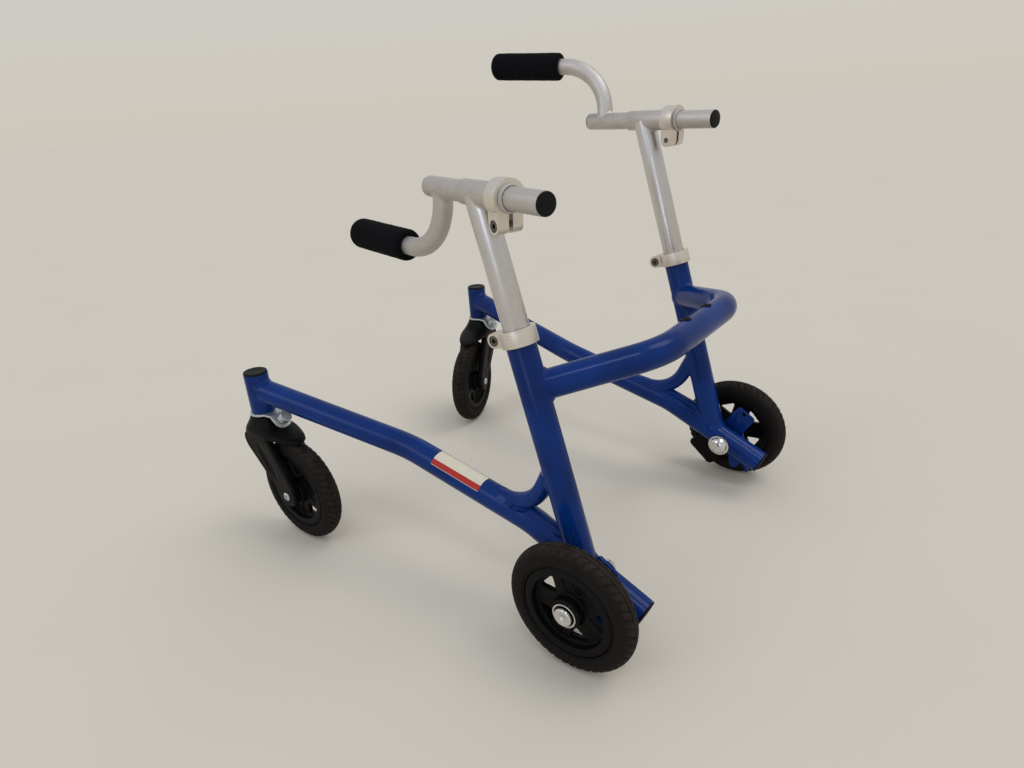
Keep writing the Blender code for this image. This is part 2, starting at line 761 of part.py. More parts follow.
def caster_fork(name, side):
    place = fork_place(side)
    body = join(fork_dome(), fork_leg(1), fork_leg(-1))
    body.name = name
    arch = rod("arch", (-FORK_IN, TRAIL, WHEEL_R), (FORK_IN, TRAIL, WHEEL_R), FORK_ARCH_R, 24)
    bolt = rod("bolt_hole", (-0.04, TRAIL, WHEEL_R), (0.04, TRAIL, WHEEL_R), 0.0040 + GAP, 12)
    hole = rod("front_hole", (0, -0.040, CROWN_TOP - 0.0140), (0, -0.018, CROWN_TOP - 0.0140), 0.0028, 8)
    body = cut(body, arch, bolt, hole)
    body = join(body, turned("stem", stem_profile(), (0, 0, 0), (0, 0, 1), 16, False))
    body.data.transform(place)
    set_origin(finish(body, name, black_moulding(), 30), (HEAD_X * side, HEAD_Y, CROWN_TOP))


def caster_axle(name, side):
    place = fork_place(side)
    reach = FORK_OUT + GAP
    profile = [(0, reach + 0.0018), (0.0052, reach + 0.0018), (0.0060, reach + 0.0010), (0.0060, reach),
               (0.0040, reach), (0.0040, -reach), (0.0060, -reach), (0.0060, -reach - 0.0010),
               (0.0052, -reach - 0.0018), (0, -reach - 0.0018)]
    body = turned(name, profile, (0, 0, 0), (1, 0, 0), 12, False)
    body.data.transform(place @ Matrix.Translation((0, TRAIL, WHEEL_R)))
    set_origin(finish(body, name, chromed_steel()), place @ Vector((0, TRAIL, WHEEL_R)))


def caster_wheel(label, side):
    place = fork_place(side)
    centre = place @ Vector((0, TRAIL, WHEEL_R))
    axis = place.to_3x3() @ Vector((1, 0, 0))
    rim(f"{label}_caster_rim", centre, axis, CASTER_HUB_HALF, 0.0040 + RUN)
    tyre(f"{label}_caster_tyre", centre, axis)


# Height posts

def clamp_ring(name, outer, bore, width, reach, half, slit, place, head, lip_bore=None):
    """A split ring with two ears. Z along its bore, X towards the ears, Y along the screw."""
    body = rod(name, (0, 0, -width / 2), (0, 0, width / 2), outer, 24)
    root = bore - 0.0030
    ear = [(root, width / 2)] + arc((reach, 0), EAR_R, 80, -80, 6) + [(root, -width / 2)]
    stand = Matrix(((1, 0, 0, 0), (0, 0, -1, 0), (0, 1, 0, 0), (0, 0, 0, 1)))
    body = join(body, flat("ear", ear, 2 * half, stand))
    gap = flat("slit", [(root, -0.02), (0.06, -0.02), (0.06, 0.02), (root, 0.02)], slit, stand)
    hole = rod("hole", (reach, -0.03, 0), (reach, 0.03, 0), SCREW_R + GAP, 12)
    seat = rod("seat", (reach, head * (half - 0.0030), 0), (reach, head * 0.03, 0), SCREW_HEAD_R + 0.0006, 16)
    upper = 0.02 if lip_bore is None else width / 2 - LIP
    body = cut(body, gap, hole, seat, rod("round_bore", (0, 0, -0.02), (0, 0, upper), bore, 24))
    if lip_bore:
        body = cut(body, rod("lip_bore", (0, 0, 0), (0, 0, 0.02), lip_bore, 24))
    body.data.transform(place)
    return body


def clamp_screw(name, reach, half, place, head):
    """A socket head screw across the ears."""
    top = half - 0.0002
    profile = [(0, top - 0.0018), (0.0024, top - 0.0018), (0.0024, top), (SCREW_HEAD_R, top),
               (SCREW_HEAD_R, half - 0.0027), (SCREW_R, half - 0.0027), (SCREW_R, -half + 0.0003),
               (0, -half + 0.0003)]
    body = turned(name, profile, (0, 0, 0), (0, head, 0), 14, False)
    body.data.transform(place @ Matrix.Translation((reach, 0, 0)))
    return body


def collar_place(side):
    """Z up the upright, X forward along the ears, Y along the screw."""
    up = upright_dir()
    forward = Vector((0, -1, 0))
    return frame_of(forward, up, upright_point(side, COLLAR_MID_Z))


def height_collar(label, side):
    place = collar_place(side)
    head = 1 if (place.to_3x3() @ Vector((0, 1, 0))).x > 0 else -1
    bore = TUBE_R + RUN
    body = clamp_ring("collar", COLLAR_R, bore, COLLAR_H, COLLAR_SCREW_OUT, EAR_HALF, COLLAR_SLIT, place, head,
                      POST_R + RUN)
    set_origin(finish(body, f"{label}_height_collar", satin_aluminium()), upright_point(side, COLLAR_MID_Z))
    screw = clamp_screw("screw", COLLAR_SCREW_OUT, EAR_HALF, place, head)
    set_origin(finish(screw, f"{label}_collar_screw", dark_steel()), upright_point(side, COLLAR_MID_Z))


def handle_frame(side):
    """The sliding tube's own directions and points, from the handle's measured angles."""
    spec = LEFT_HANDLE if side > 0 else RIGHT_HANDLE
    yaw, pitch = radians(spec["yaw"]), radians(spec["pitch"])
    w = Vector((sin(yaw) * cos(pitch), cos(yaw) * cos(pitch), sin(pitch)))
    over = upright_point(side, spec["z"])
    front = over - w * SLIDE_AHEAD
    across = w.cross(Vector((0, 0, 1))).normalized()
    up = across.cross(w)
    roll = radians(spec["roll"])
    n = (up * cos(roll) + across * sin(roll)) * spec["up"]
    m = w.cross(n)
    turn = radians(spec["grip_yaw"])
    fw = (-w * cos(GRIP_TILT) - n * sin(GRIP_TILT)) * cos(turn) + m * sin(turn)
    root = front + w * NECK_FROM
    knee = root + n * NECK_DROP
    return {"w": w, "over": over, "front": front, "across": across, "up": up, "n": n, "fw": fw,
            "root": root, "knee": knee, "back": front + w * SLIDE_LENGTH}


def height_post(label, side):
    name = f"{label}_height_post"
    f = handle_frame(side)
    foot = f["over"] - upright_dir() * POST_LENGTH
    body = rod(name, foot, f["over"], POST_R, 24)
    sleeve_to = CLAMP_FROM + CLAMP_W
    sleeve = rod("sleeve", f["front"] + f["w"] * SLEEVE_FROM, f["front"] + f["w"] * sleeve_to, SLEEVE_R, 24)
    body = join(body, sleeve)
    hollow = rod("hollow", foot - upright_dir() * 0.01, f["over"] - upright_dir() * 0.022, POST_R - POST_WALL, 16)
    bore = rod("bore", f["front"], f["back"], SLEEVE_BORE, 24)
    body = cut(body, hollow, bore)
    set_origin(finish(body, name, satin_aluminium()), f["over"])


def depth_clamp(label, side):
    f = handle_frame(side)
    middle = f["front"] + f["w"] * (CLAMP_FROM + CLAMP_W / 2)
    place = frame_of(-f["up"], f["w"], middle)
    outward = (place.to_3x3() @ Vector((0, 1, 0))).x * side
    head = 1 if outward > 0 else -1
    body = clamp_ring("clamp", CLAMP_R, SLEEVE_R + GAP, CLAMP_W, CLAMP_SCREW_DOWN, CLAMP_EAR_HALF, CLAMP_SLIT, place,
                      head)
    set_origin(finish(body, f"{label}_depth_clamp", satin_aluminium()), middle)
    screw = clamp_screw("screw", CLAMP_SCREW_DOWN, CLAMP_EAR_HALF, place, head)
    set_origin(finish(screw, f"{label}_clamp_screw", dark_steel()), middle)


def handle_liner(label, side):
    f = handle_frame(side)
    low = CLAMP_FROM + CLAMP_W + GAP
    profile = [(LINER_R, low), (LINER_R, low + 0.0024), (LINER_R - 0.0014, low + 0.0040),
               (SLEEVE_BORE, low + 0.0040), (SLEEVE_BORE, low)]
    body = turned("liner", profile, f["front"], f["w"], 24)
    set_origin(finish(body, f"{label}_handle_liner", liner_plastic()), f["over"])


def handle_bar(label, side):
    """The sliding tube with the bent neck welded to it, both hollow."""
    name = f"{label}_handle_bar"
    f = handle_frame(side)
    body = rod(name, f["front"], f["back"], SLIDE_R, 24)
    tip = f["knee"] + f["fw"] * (GRIP_TO - 0.006)
    path = rounded_path([f["root"], f["knee"], tip], (NECK_BEND,), 9)
    body = join(body, tube("neck", path, NECK_R))
    inside = path[:-1] + [tip - f["fw"] * 0.004]
    inside[0] = f["root"] + f["n"] * 0.002
    body = cut(body, tube("neck_bore", inside, NECK_R - SLIDE_WALL, 8))
    slot = rod("slide_bore", f["front"] - f["w"] * 0.01, f["back"] + f["w"] * 0.01, SLIDE_R - SLIDE_WALL, 16)
    body = cut(body, slot)
    set_origin(finish(body, name, satin_aluminium()), f["over"])


def handle_plug(name, f, end, away):
    inner = SLIDE_R - SLIDE_WALL - 2 * GAP
    profile = [(0, 0.0020), (SLIDE_R - 0.0012, 0.0020), (SLIDE_R - 0.0003, 0.0011), (SLIDE_R - 0.0003, GAP),
               (inner, GAP), (inner, -0.007), (0, -0.007)]
    body = turned(name, profile, end, away, 14, False)
    set_origin(finish(body, name, black_cap_plastic()), f["over"])


def foam_grip(label, side):
    """A foam sleeve, closed and rounded at its front end."""
    f = handle_frame(side)
    bore, r = NECK_R + GAP, GRIP_R
    inner_end = GRIP_TO - 0.006 + GAP
    profile = [(0, GRIP_TO), (r - 0.0093, GRIP_TO - 0.0008), (r - 0.0043, GRIP_TO - 0.0032),
               (r - 0.0013, GRIP_TO - 0.0072),
               (r, GRIP_TO - 0.0130), (r, GRIP_FROM + 0.0030), (r - 0.0025, GRIP_FROM), (bore, GRIP_FROM),
               (bore, inner_end), (0, inner_end)]
    body = turned("foam", profile, f["knee"], f["fw"], 20, False)
    set_origin(finish(body, f"{label}_foam_grip", grip_foam()), f["over"])


def build_side(label, side):
    upright(f"{label}_upright", side)
    rail(f"{label}_rail", side)
    gusset(f"{label}_gusset", side)
    rail_plug(f"{label}_rail_plug", side)
    head_tube(f"{label}_head_tube", side)
    head_cap(f"{label}_head_cap", side)
    axle_plate(f"{label}_axle_plate", side)
    stop_block(f"{label}_stop_block", side)
    rear_axle(f"{label}_rear_axle", side)
    lock_bracket(f"{label}_lock_bracket", side)
    lock_plunger(f"{label}_lock_plunger", side)
    rear_wheel(label, side)
    caster_fork(f"{label}_caster_fork", side)
    caster_axle(f"{label}_caster_axle", side)
    caster_wheel(label, side)
    height_collar(label, side)
    height_post(label, side)
    depth_clamp(label, side)
    handle_liner(label, side)
    handle_bar(label, side)
    f = handle_frame(side)
    handle_plug(f"{label}_handle_front_plug", f, f["front"], -f["w"])
    handle_plug(f"{label}_handle_rear_plug", f, f["back"], f["w"])
    foam_grip(label, side)


def build():
    clear_scene()
    crossbar("rear_crossbar")
    for label, side in SIDES:
        crossbar_insert(f"{label}_crossbar_insert", side)
        build_side(label, side)


build()
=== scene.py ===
"""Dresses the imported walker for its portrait: smooth welded tubes, lugged tyres, moulded forks
and wheels, split clamps, foam grips, and the finish of each.

Metres, +Z up. The walker faces -Y and its left side is +X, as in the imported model.
"""
import bpy
import bmesh
from math import cos, pi, radians, sin, tan
from mathutils import Matrix, Vector, kdtree, noise

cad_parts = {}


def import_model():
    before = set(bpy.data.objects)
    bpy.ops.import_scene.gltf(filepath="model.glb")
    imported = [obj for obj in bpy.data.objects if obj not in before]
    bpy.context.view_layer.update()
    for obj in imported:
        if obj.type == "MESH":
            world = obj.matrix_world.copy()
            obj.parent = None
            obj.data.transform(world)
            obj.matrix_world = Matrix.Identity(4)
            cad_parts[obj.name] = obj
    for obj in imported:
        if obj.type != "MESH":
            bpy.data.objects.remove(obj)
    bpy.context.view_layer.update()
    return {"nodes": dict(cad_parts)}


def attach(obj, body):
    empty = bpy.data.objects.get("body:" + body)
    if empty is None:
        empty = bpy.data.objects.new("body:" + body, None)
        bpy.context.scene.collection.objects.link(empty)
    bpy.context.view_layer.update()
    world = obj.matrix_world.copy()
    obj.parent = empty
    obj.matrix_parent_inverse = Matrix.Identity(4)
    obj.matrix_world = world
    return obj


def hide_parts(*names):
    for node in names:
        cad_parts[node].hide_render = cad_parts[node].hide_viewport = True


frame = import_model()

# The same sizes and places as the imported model.
REAR_X, REAR_Y, WHEEL_R = 0.2378, 0.2300, 0.075
HEAD_X, HEAD_Y = 0.2380, -0.2739
HEAD_R, HEAD_BORE, HEAD_BOTTOM, HEAD_TOP = 0.0162, 0.0140, 0.1852, 0.2406
TUBE_R, UPRIGHT_BORE = 0.0160, 0.0144
UPRIGHT_X, FOOT_Y, FOOT_Z, RAKE = 0.1871, 0.2181, 0.0750, 0.2776
RAIL_BORE = 0.0143
RAIL = ((HEAD_X, HEAD_Y, 0.2173), (0.1888, -0.0376, 0.1677), (0.1850, 0.1451, 0.1222),
        (0.1850, 0.2858, 0.0548))
RAIL_BENDS, RAIL_STEPS = (0.214, 0.120), 16
GUSSET_X, GUSSET_R, STRUT_R = 0.1863, 0.0100, 0.0080
CROSSBAR_Z, CROSSBAR_CORNER, CROSSBAR_BEND = 0.2890, Vector((0.0932, 0.2575, 0.3142)), 0.0702
INSERT_X, AXLE_HOLE_R = 0.0285, 0.0064
SPOKES, REAR_HUB_HALF, BEARING_R, CASTER_HUB_HALF, CASTER_BORE = 5, 0.0140, 0.0143, 0.0143, 0.0046
TRAIL, CROWN_TOP, FORK_IN, FORK_OUT = 0.0552, 0.1800, 0.0153, 0.0260
# The fork's crown and hood: reach to the front, reach to the rear, distance below the crown's top.
DOME = ((0.0180, 0.0180, 0.0000), (0.0192, 0.0192, 0.0012), (0.0198, 0.0200, 0.0040),
        (0.0225, 0.0255, 0.0100), (0.0245, 0.0330, 0.0140), (0.0256, 0.0500, 0.0170),
        (0.0261, 0.0680, 0.0190), (0.0262, 0.0755, 0.0207), (0.0260, 0.0780, 0.0250))
COLLAR_Z, COLLAR_R, COLLAR_H, COLLAR_REACH, COLLAR_EAR = 0.3430, 0.0197, 0.0170, 0.0275, 0.0080
POST_R, POST_BORE, POST_LENGTH = 0.0140, 0.0125, 0.2850
SLIDE_R, SLIDE_BORE, SLIDE_LENGTH, SLIDE_AHEAD = 0.0110, 0.0095, 0.1997, 0.0929
SLEEVE_R, SLEEVE_BORE, SLEEVE_FROM = 0.0126, 0.01145, 0.0700
CLAMP_FROM, CLAMP_W, CLAMP_R, CLAMP_REACH, CLAMP_EAR = 0.1300, 0.0170, 0.0180, 0.0242, 0.0140
NECK_R, NECK_FROM, NECK_DROP, NECK_BEND = 0.0108, 0.0235, 0.0733, 0.0700
GRIP_FROM, GRIP_TO, GRIP_R, GRIP_TILT = 0.0801, 0.1906, 0.0187, 2.4
# Each handle as it stands: its post's top, then its angles in degrees. The left neck hangs down.
HANDLES = {1: {"z": 0.4821, "yaw": 18.2, "roll": 2.8, "turn": -7.4, "up": -1, "pitch": -0.75},
           -1: {"z": 0.5251, "yaw": 10.0, "roll": -17.5, "turn": 20.2, "up": 1, "pitch": -0.25}}
# The way each caster trails, in degrees from +X towards +Y.
TRAIL_DEG = {1: 90.0, -1: 17.3}
SIDES = (("left", 1), ("right", -1))

# What meets an upright, a swivel head or a sleeve is cut round it at these radii, inside its wall.
COPE_R, HEAD_COPE_R, SLEEVE_COPE_R = 0.0152, 0.0150, 0.0120
# Radii of the weld beads: on frame tubes, on small tubes, and the thinnest ones.
BEAD, SMALL_BEAD, FINE_BEAD = 0.0046, 0.0036, 0.0034
MERGE = 0.000002


# Making solids

def place_of(x_dir, z_dir, origin):
    """A matrix whose Z and X run along the given directions."""
    z = Vector(z_dir).normalized()
    x = Vector(x_dir)
    x = (x - z * x.dot(z)).normalized()
    return Matrix.Translation(Vector(origin)) @ Matrix((x, z.cross(x), z)).transposed().to_4x4()


def along(start, direction):
    """A matrix with Z along a direction, for round things."""
    return Matrix.Translation(Vector(start)) @ Vector(direction).to_track_quat("Z", "Y").to_matrix().to_4x4()


def put(bm, matrix):
    bmesh.ops.transform(bm, matrix=matrix, verts=bm.verts)
    return bm


def tidy(bm):
    """Merges points that coincide and turns the faces outwards."""
    bmesh.ops.remove_doubles(bm, verts=bm.verts, dist=MERGE)
    bmesh.ops.recalc_face_normals(bm, faces=bm.faces)
    return bm


def soften(bm, width, segments=3, angle=32):
    """Rounds every edge sharper than the angle."""
    edges = [e for e in bm.edges if e.is_manifold and e.calc_face_angle(0) > radians(angle)]
    bmesh.ops.bevel(bm, geom=edges, offset=width, offset_type="OFFSET", segments=segments,
                    profile=0.5, affect="EDGES", clamp_overlap=True, material=-1)
    return bm


def turned(profile, sides=72):
    """A profile of (radius, height) points spun round Z. It closes on itself or on the axis."""
    bm = bmesh.new()
    ring = [bm.verts.new((r, 0, h)) for r, h in profile]
    edges = [bm.edges.new(pair) for pair in zip(ring, ring[1:])]
    if profile[0][0] > 0:
        edges.append(bm.edges.new((ring[-1], ring[0])))
    bmesh.ops.spin(bm, geom=ring + edges, cent=(0, 0, 0), axis=(0, 0, 1), angle=2 * pi, steps=sides,
                   use_merge=True)
    return tidy(bm)


def both_ways(half):
    """A profile and its mirror image below the middle."""
    return half + [(r, -h) for r, h in reversed(half)]


def rod(start, end, radius, sides=64):
    """A plain round bar, mostly a drill for the cuts."""
    start, end = Vector(start), Vector(end)
    bm = bmesh.new()
    bmesh.ops.create_cone(bm, cap_ends=True, segments=sides, radius1=radius, radius2=radius,
                          depth=(end - start).length)
    return put(bm, along((start + end) / 2, end - start))


def pipe(start, end, outer, inner):
    """A straight tube with a wall, its ends slightly rounded."""
    start, end = Vector(start), Vector(end)
    length = (end - start).length
    bm = turned([(outer, 0), (outer, length), (inner, length), (inner, 0)])
    return put(soften(bm, 0.0003, 2), along(start, end - start))


def plate(outline, thickness):
    """A flat outline grown to a thickness either side of its plane."""
    bm = bmesh.new()
    face = bm.faces.new([bm.verts.new((x, y, -thickness / 2)) for x, y in outline])
    grown = bmesh.ops.extrude_face_region(bm, geom=[face])["geom"]
    top = [v for v in grown if isinstance(v, bmesh.types.BMVert)]
    bmesh.ops.translate(bm, vec=(0, 0, thickness), verts=top)
    return tidy(bm)


def arc(centre, radius, start, end, steps):
    """Points on an arc between two angles in degrees."""
    turns = [radians(start + (end - start) * k / steps) for k in range(steps + 1)]
    return [(centre[0] + radius * cos(a), centre[1] + radius * sin(a)) for a in turns]


def rounded_path(points, bends, steps):
    """Straight runs joined by arcs, each bend with its own radius."""
    pts = [Vector(p) for p in points]
    path = [pts[0]]
    for i, bend in enumerate(bends):
        a, b, c = pts[i:i + 3]
        back, ahead = (a - b).normalized(), (c - b).normalized()
        turn = pi - back.angle(ahead)
        start = b + back * bend * tan(turn / 2)
        centre = b + (ahead + back).normalized() * (bend / cos(turn / 2))
        normal = back.cross(ahead).normalized()
        path += [centre + Matrix.Rotation(-turn * k / steps, 3, normal) @ (start - centre)
                 for k in range(steps + 1)]
    return path + [pts[-1]]


def shown(thing):
    """A scratch object for one step of the making."""
    scratch = bpy.data.objects.new("scratch", thing)
    bpy.context.scene.collection.objects.link(scratch)
    return scratch


def solid_from(scratch):
    """The finished shape of a scratch object, which goes."""
    bpy.context.view_layer.update()
    ready = scratch.evaluated_get(bpy.context.evaluated_depsgraph_get())
    mesh = bpy.data.meshes.new_from_object(ready)
    bm = bmesh.new()
    bm.from_mesh(mesh)
    bpy.data.meshes.remove(mesh)
    drop(scratch)
    return bm


def drop(scratch):
    data = scratch.data
    bpy.data.objects.remove(scratch)
    (bpy.data.curves if isinstance(data, bpy.types.Curve) else bpy.data.meshes).remove(data)


def swept(path, radius, sides=48, closed=False, widths=None):
    """A round bar along a path. Widths vary it from point to point."""
    data = bpy.data.curves.new("run", "CURVE")
    data.dimensions = "3D"
    data.twist_mode = "MINIMUM"
    data.bevel_depth = radius
    data.bevel_resolution = sides // 2 - 2
    data.use_fill_caps = not closed
    spline = data.splines.new("POLY")
    spline.points.add(len(path) - 1)
    for k, point in enumerate(path):
        spline.points[k].co = (*point, 1.0)
        spline.points[k].radius = widths[k] if widths else 1.0
    spline.use_cyclic_u = closed
    return tidy(solid_from(shown(data)))


def mesh_of(bm):
    mesh = bpy.data.meshes.new("scratch")
    bm.to_mesh(mesh)
    bm.free()
    return mesh


def carved(bm, tool, operation="DIFFERENCE"):
    """One solid cut by, joined to or kept inside another."""
    body, other = shown(mesh_of(bm)), shown(mesh_of(tool))
    step = body.modifiers.new("carve", "BOOLEAN")
    step.operation, step.solver, step.object = operation, "EXACT", other
    made = solid_from(body)
    drop(other)
    bmesh.ops.remove_doubles(made, verts=made.verts, dist=MERGE)
    return made


def gathered(*parts):
    """Several solids in one mesh."""
    whole = bmesh.new()
    for part in parts:
        mesh = mesh_of(part)
        whole.from_mesh(mesh)
        bpy.data.meshes.remove(mesh)
    return whole


def moulded(bm, grid, rounds):
    """Runs solids together into one moulding with soft corners."""
    body = shown(mesh_of(bm))
    step = body.modifiers.new("mould", "REMESH")
    step.mode, step.voxel_size = "VOXEL", grid
    made = solid_from(body)
    for _ in range(rounds):
        bmesh.ops.smooth_vert(made, verts=made.verts, factor=0.5, use_axis_x=True, use_axis_y=True,
                              use_axis_z=True)
    return made


def cad_copy(node):
    """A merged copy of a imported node, its flat faces whole again."""
    bm = bmesh.new()
    bm.from_mesh(frame["nodes"][node].data)
    bmesh.ops.remove_doubles(bm, verts=bm.verts, dist=0.00001)
    bmesh.ops.dissolve_limit(bm, angle_limit=radians(1), verts=bm.verts, edges=bm.edges)
    return tidy(bm)


def piece(bm, name, body, finish, *nodes, smooth=38):
    """The finished piece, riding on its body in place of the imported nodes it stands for."""
    mesh = bpy.data.meshes.new(name)
    bm.to_mesh(mesh)
    bm.free()
    mesh.materials.append(finish)
    mesh.shade_smooth()
    mesh.set_sharp_from_angle(angle=radians(smooth))
    obj = bpy.data.objects.new(name, mesh)
    bpy.context.scene.collection.objects.link(obj)
    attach(obj, body)
    if nodes:
        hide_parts(*nodes)
    return obj


def saddle(main, main_dir, main_r, start, branch_dir, branch_r, steps=64):
    """The closed line where a branch tube meets the outside of a main tube. Each spot comes with
    the direction out of the corner and how far the bead may fill it."""
    m, b = Vector(main_dir).normalized(), Vector(branch_dir).normalized()
    e1 = b.cross(m).normalized()
    e2 = b.cross(e1)
    spots = []
    for k in range(steps):
        a = 2 * pi * k / steps
        p = Vector(start) + (e1 * cos(a) + e2 * sin(a)) * branch_r
        out = (p - Vector(main)) - m * (p - Vector(main)).dot(m)
        run = b - m * b.dot(m)
        half, whole = out.dot(run), max(out.dot(run) ** 2 - run.dot(run) * (out.dot(out) - main_r ** 2), 0)
        spot = p + b * ((-half - whole ** 0.5) / run.dot(run))
        off = spot - Vector(main)
        wall, skin = (off - m * off.dot(m)).normalized(), e1 * cos(a) + e2 * sin(a)
        spots.append((spot, (wall + skin).normalized(), 0.50 - 0.34 * wall.dot(skin)))
    return spots


def weld(seam, width=BEAD, ripple=0.07):
    """A weld bead laid in small overlapping drops along a closed line, its face flattened to a fillet."""
    spots = [row[0] for row in seam]
    length = sum((a - b).length for a, b in zip(spots, spots[1:] + spots[:1]))
    drops = max(int(length / 0.0042), 8)
    fine, tree = [], kdtree.KDTree(len(spots))
    for k, (a, b) in enumerate(zip(spots, spots[1:] + spots[:1])):
        fine += [a.lerp(b, step / 3) for step in range(3)]
        tree.insert(a, k)
    tree.balance()
    widths = [1 + ripple * cos(2 * pi * drops * k / len(fine)) for k in range(len(fine))]
    bead = swept(fine, width, 16, True, widths)
    for v in bead.verts:
        spot, out, lift = seam[tree.find(v.co)[1]]
        reach = v.co - spot
        over = reach.dot(out) - lift * reach.length
        if over > 0:
            v.co -= out * over
    return bead


def bore_clear(bm, start, direction, radius):
    """Draws what reaches into a tube's bore back into the tube's wall."""
    for v in bm.verts:
        reach = v.co - Vector(start)
        off = reach - direction * reach.dot(direction)
        if off.length < radius:
            v.co += off.normalized() * (radius - off.length)
    return bm


# Finishes

def linear(text):
    """An sRGB hex colour as linear values."""
    parts = [int(text[i:i + 2], 16) / 255 for i in (1, 3, 5)]
    return tuple(p / 12.92 if p <= 0.04045 else ((p + 0.055) / 1.055) ** 2.4 for p in parts) + (1.0,)


def feed(tree, node, inputs):
    """Sets a node's inputs, each a plain value, a hex colour or another node's output."""
    for key, value in inputs.items():
        if isinstance(value, bpy.types.NodeSocket):
            tree.links.new(value, node.inputs[key])
        else:
            node.inputs[key].default_value = linear(value) if isinstance(value, str) else value


def add(tree, kind, out, inputs, **settings):
    """Adds a node with its settings and links and gives one of its outputs."""
    node = tree.nodes.new("ShaderNode" + kind)
    for key, value in settings.items():
        setattr(node, key, value)
    feed(tree, node, inputs)
    return node.outputs[out]


def finish_of(name, slot):
    """A new finish: its material, node tree, shader and the place on the piece."""
    made = bpy.data.materials.new(name)
    made.use_nodes = True
    made["slot"] = slot
    tree = made.node_tree
    return made, tree, tree.nodes["Principled BSDF"], add(tree, "TexCoord", "Object", {})


def powder_coat():
    """Baked polyester powder: deep blue under a smooth gloss, its orange-peel skin softening the shine."""
    made, tree, shader, where = finish_of("blue_powder_coat", "blue_powder_coat")
    # the film is a little thicker here and thinner there, over some 60 mm
    film = add(tree, "TexNoise", "Fac", {"Vector": where, "Scale": 16.0, "Detail": 2.0})
    tone = add(tree, "MapRange", "Result", {"Value": film, "From Min": 0.35, "From Max": 0.65})
    blue = add(tree, "Mix", 2, {0: tone, 6: "#04235C", 7: "#062E71"}, data_type="RGBA")
    # dust nibs, drawn about 1 mm across so that they show at all
    nibs = add(tree, "TexNoise", "Fac", {"Vector": where, "Scale": 850.0, "Detail": 1.0})
    nibs = add(tree, "MapRange", "Result", {"Value": nibs, "From Min": 0.76, "From Max": 0.82,
                                            "To Max": 0.10})
    worn = add(tree, "Mix", 2, {0: nibs, 6: blue, 7: "#5E79AE"}, data_type="RGBA")
    gloss = add(tree, "TexNoise", "Fac", {"Vector": where, "Scale": 45.0, "Detail": 3.0})
    gloss = add(tree, "MapRange", "Result", {"Value": gloss, "From Min": 0.3, "From Max": 0.7,
                                             "To Min": 0.20, "To Max": 0.28})
    peel = add(tree, "TexNoise", "Fac", {"Vector": where, "Scale": 420.0, "Detail": 2.0})
    skin = add(tree, "Bump", "Normal", {"Height": peel, "Distance": 0.00005})
    feed(tree, shader, {"Base Color": worn, "Roughness": gloss, "Normal": skin, "Specular IOR Level": 0.07,
                        "Coat Weight": 0.18, "Coat Roughness": 0.15})
    return made


def anodised(name, axis, colours, rough, lines):
    """Satin anodised aluminium: silver-grey, with fine tool or drawing lines and soft handling smudges."""
    made, tree, shader, where = finish_of(name, "satin_aluminium")
    turn = Vector(axis).to_track_quat("Z", "Y").inverted().to_euler()
    lined = add(tree, "Mapping", "Vector", {"Vector": where, "Rotation": tuple(turn)})
    drawn = add(tree, "Mapping", "Vector", {"Vector": lined, "Scale": lines})
    # lines half a millimetre apart, coarser than the real ones so that they show
    grain = add(tree, "TexNoise", "Fac", {"Vector": drawn, "Scale": 1600.0, "Detail": 3.0, "Roughness": 0.6})
    tone = add(tree, "MapRange", "Result", {"Value": grain, "From Min": 0.3, "From Max": 0.7})
    bare = add(tree, "Mix", 2, {0: tone, 6: colours[0], 7: colours[1]}, data_type="RGBA")
    smudge = add(tree, "TexNoise", "Fac", {"Vector": where, "Scale": 55.0, "Detail": 3.0})
    stain = add(tree, "MapRange", "Result", {"Value": smudge, "From Min": 0.52, "From Max": 0.78,
                                             "To Max": 0.35})
    worn = add(tree, "Mix", 2, {0: stain, 6: bare, 7: colours[2]}, data_type="RGBA")
    shine = add(tree, "MapRange", "Result", {"Value": smudge, "From Min": 0.3, "From Max": 0.7,
                                             "To Min": rough[0], "To Max": rough[1]})
    skin = add(tree, "Bump", "Normal", {"Height": grain, "Distance": 0.000005})
    feed(tree, shader, {"Base Color": worn, "Metallic": 1.0, "Roughness": shine, "Normal": skin})
    return made


def machined(name, axis):
    """A turned clamp: cream-silver, with tool lines running round its rim."""
    return anodised(name, axis, ("#E2DBD0", "#D2CABE", "#C4BBB0"), (0.36, 0.46), (0.04, 0.04, 0.6))


def plated(name, slot, colours, rough, patch):
    """Electroplated steel: bright, with faint patches where the plating crystals differ."""
    made, tree, shader, where = finish_of(name, slot)
    cloud = add(tree, "TexNoise", "Fac", {"Vector": where, "Scale": 1 / patch, "Detail": 3.0})
    tone = add(tree, "MapRange", "Result", {"Value": cloud, "From Min": 0.35, "From Max": 0.65})
    metal = add(tree, "Mix", 2, {0: tone, 6: colours[0], 7: colours[1]}, data_type="RGBA")
    shine = add(tree, "MapRange", "Result", {"Value": cloud, "From Min": 0.3, "From Max": 0.7,
                                             "To Min": rough[0], "To Max": rough[1]})
    grit = add(tree, "TexNoise", "Fac", {"Vector": where, "Scale": 1250.0})
    skin = add(tree, "Bump", "Normal", {"Height": grit, "Distance": 0.00001})
    feed(tree, shader, {"Base Color": metal, "Metallic": 1.0, "Roughness": shine, "Normal": skin})
    return made


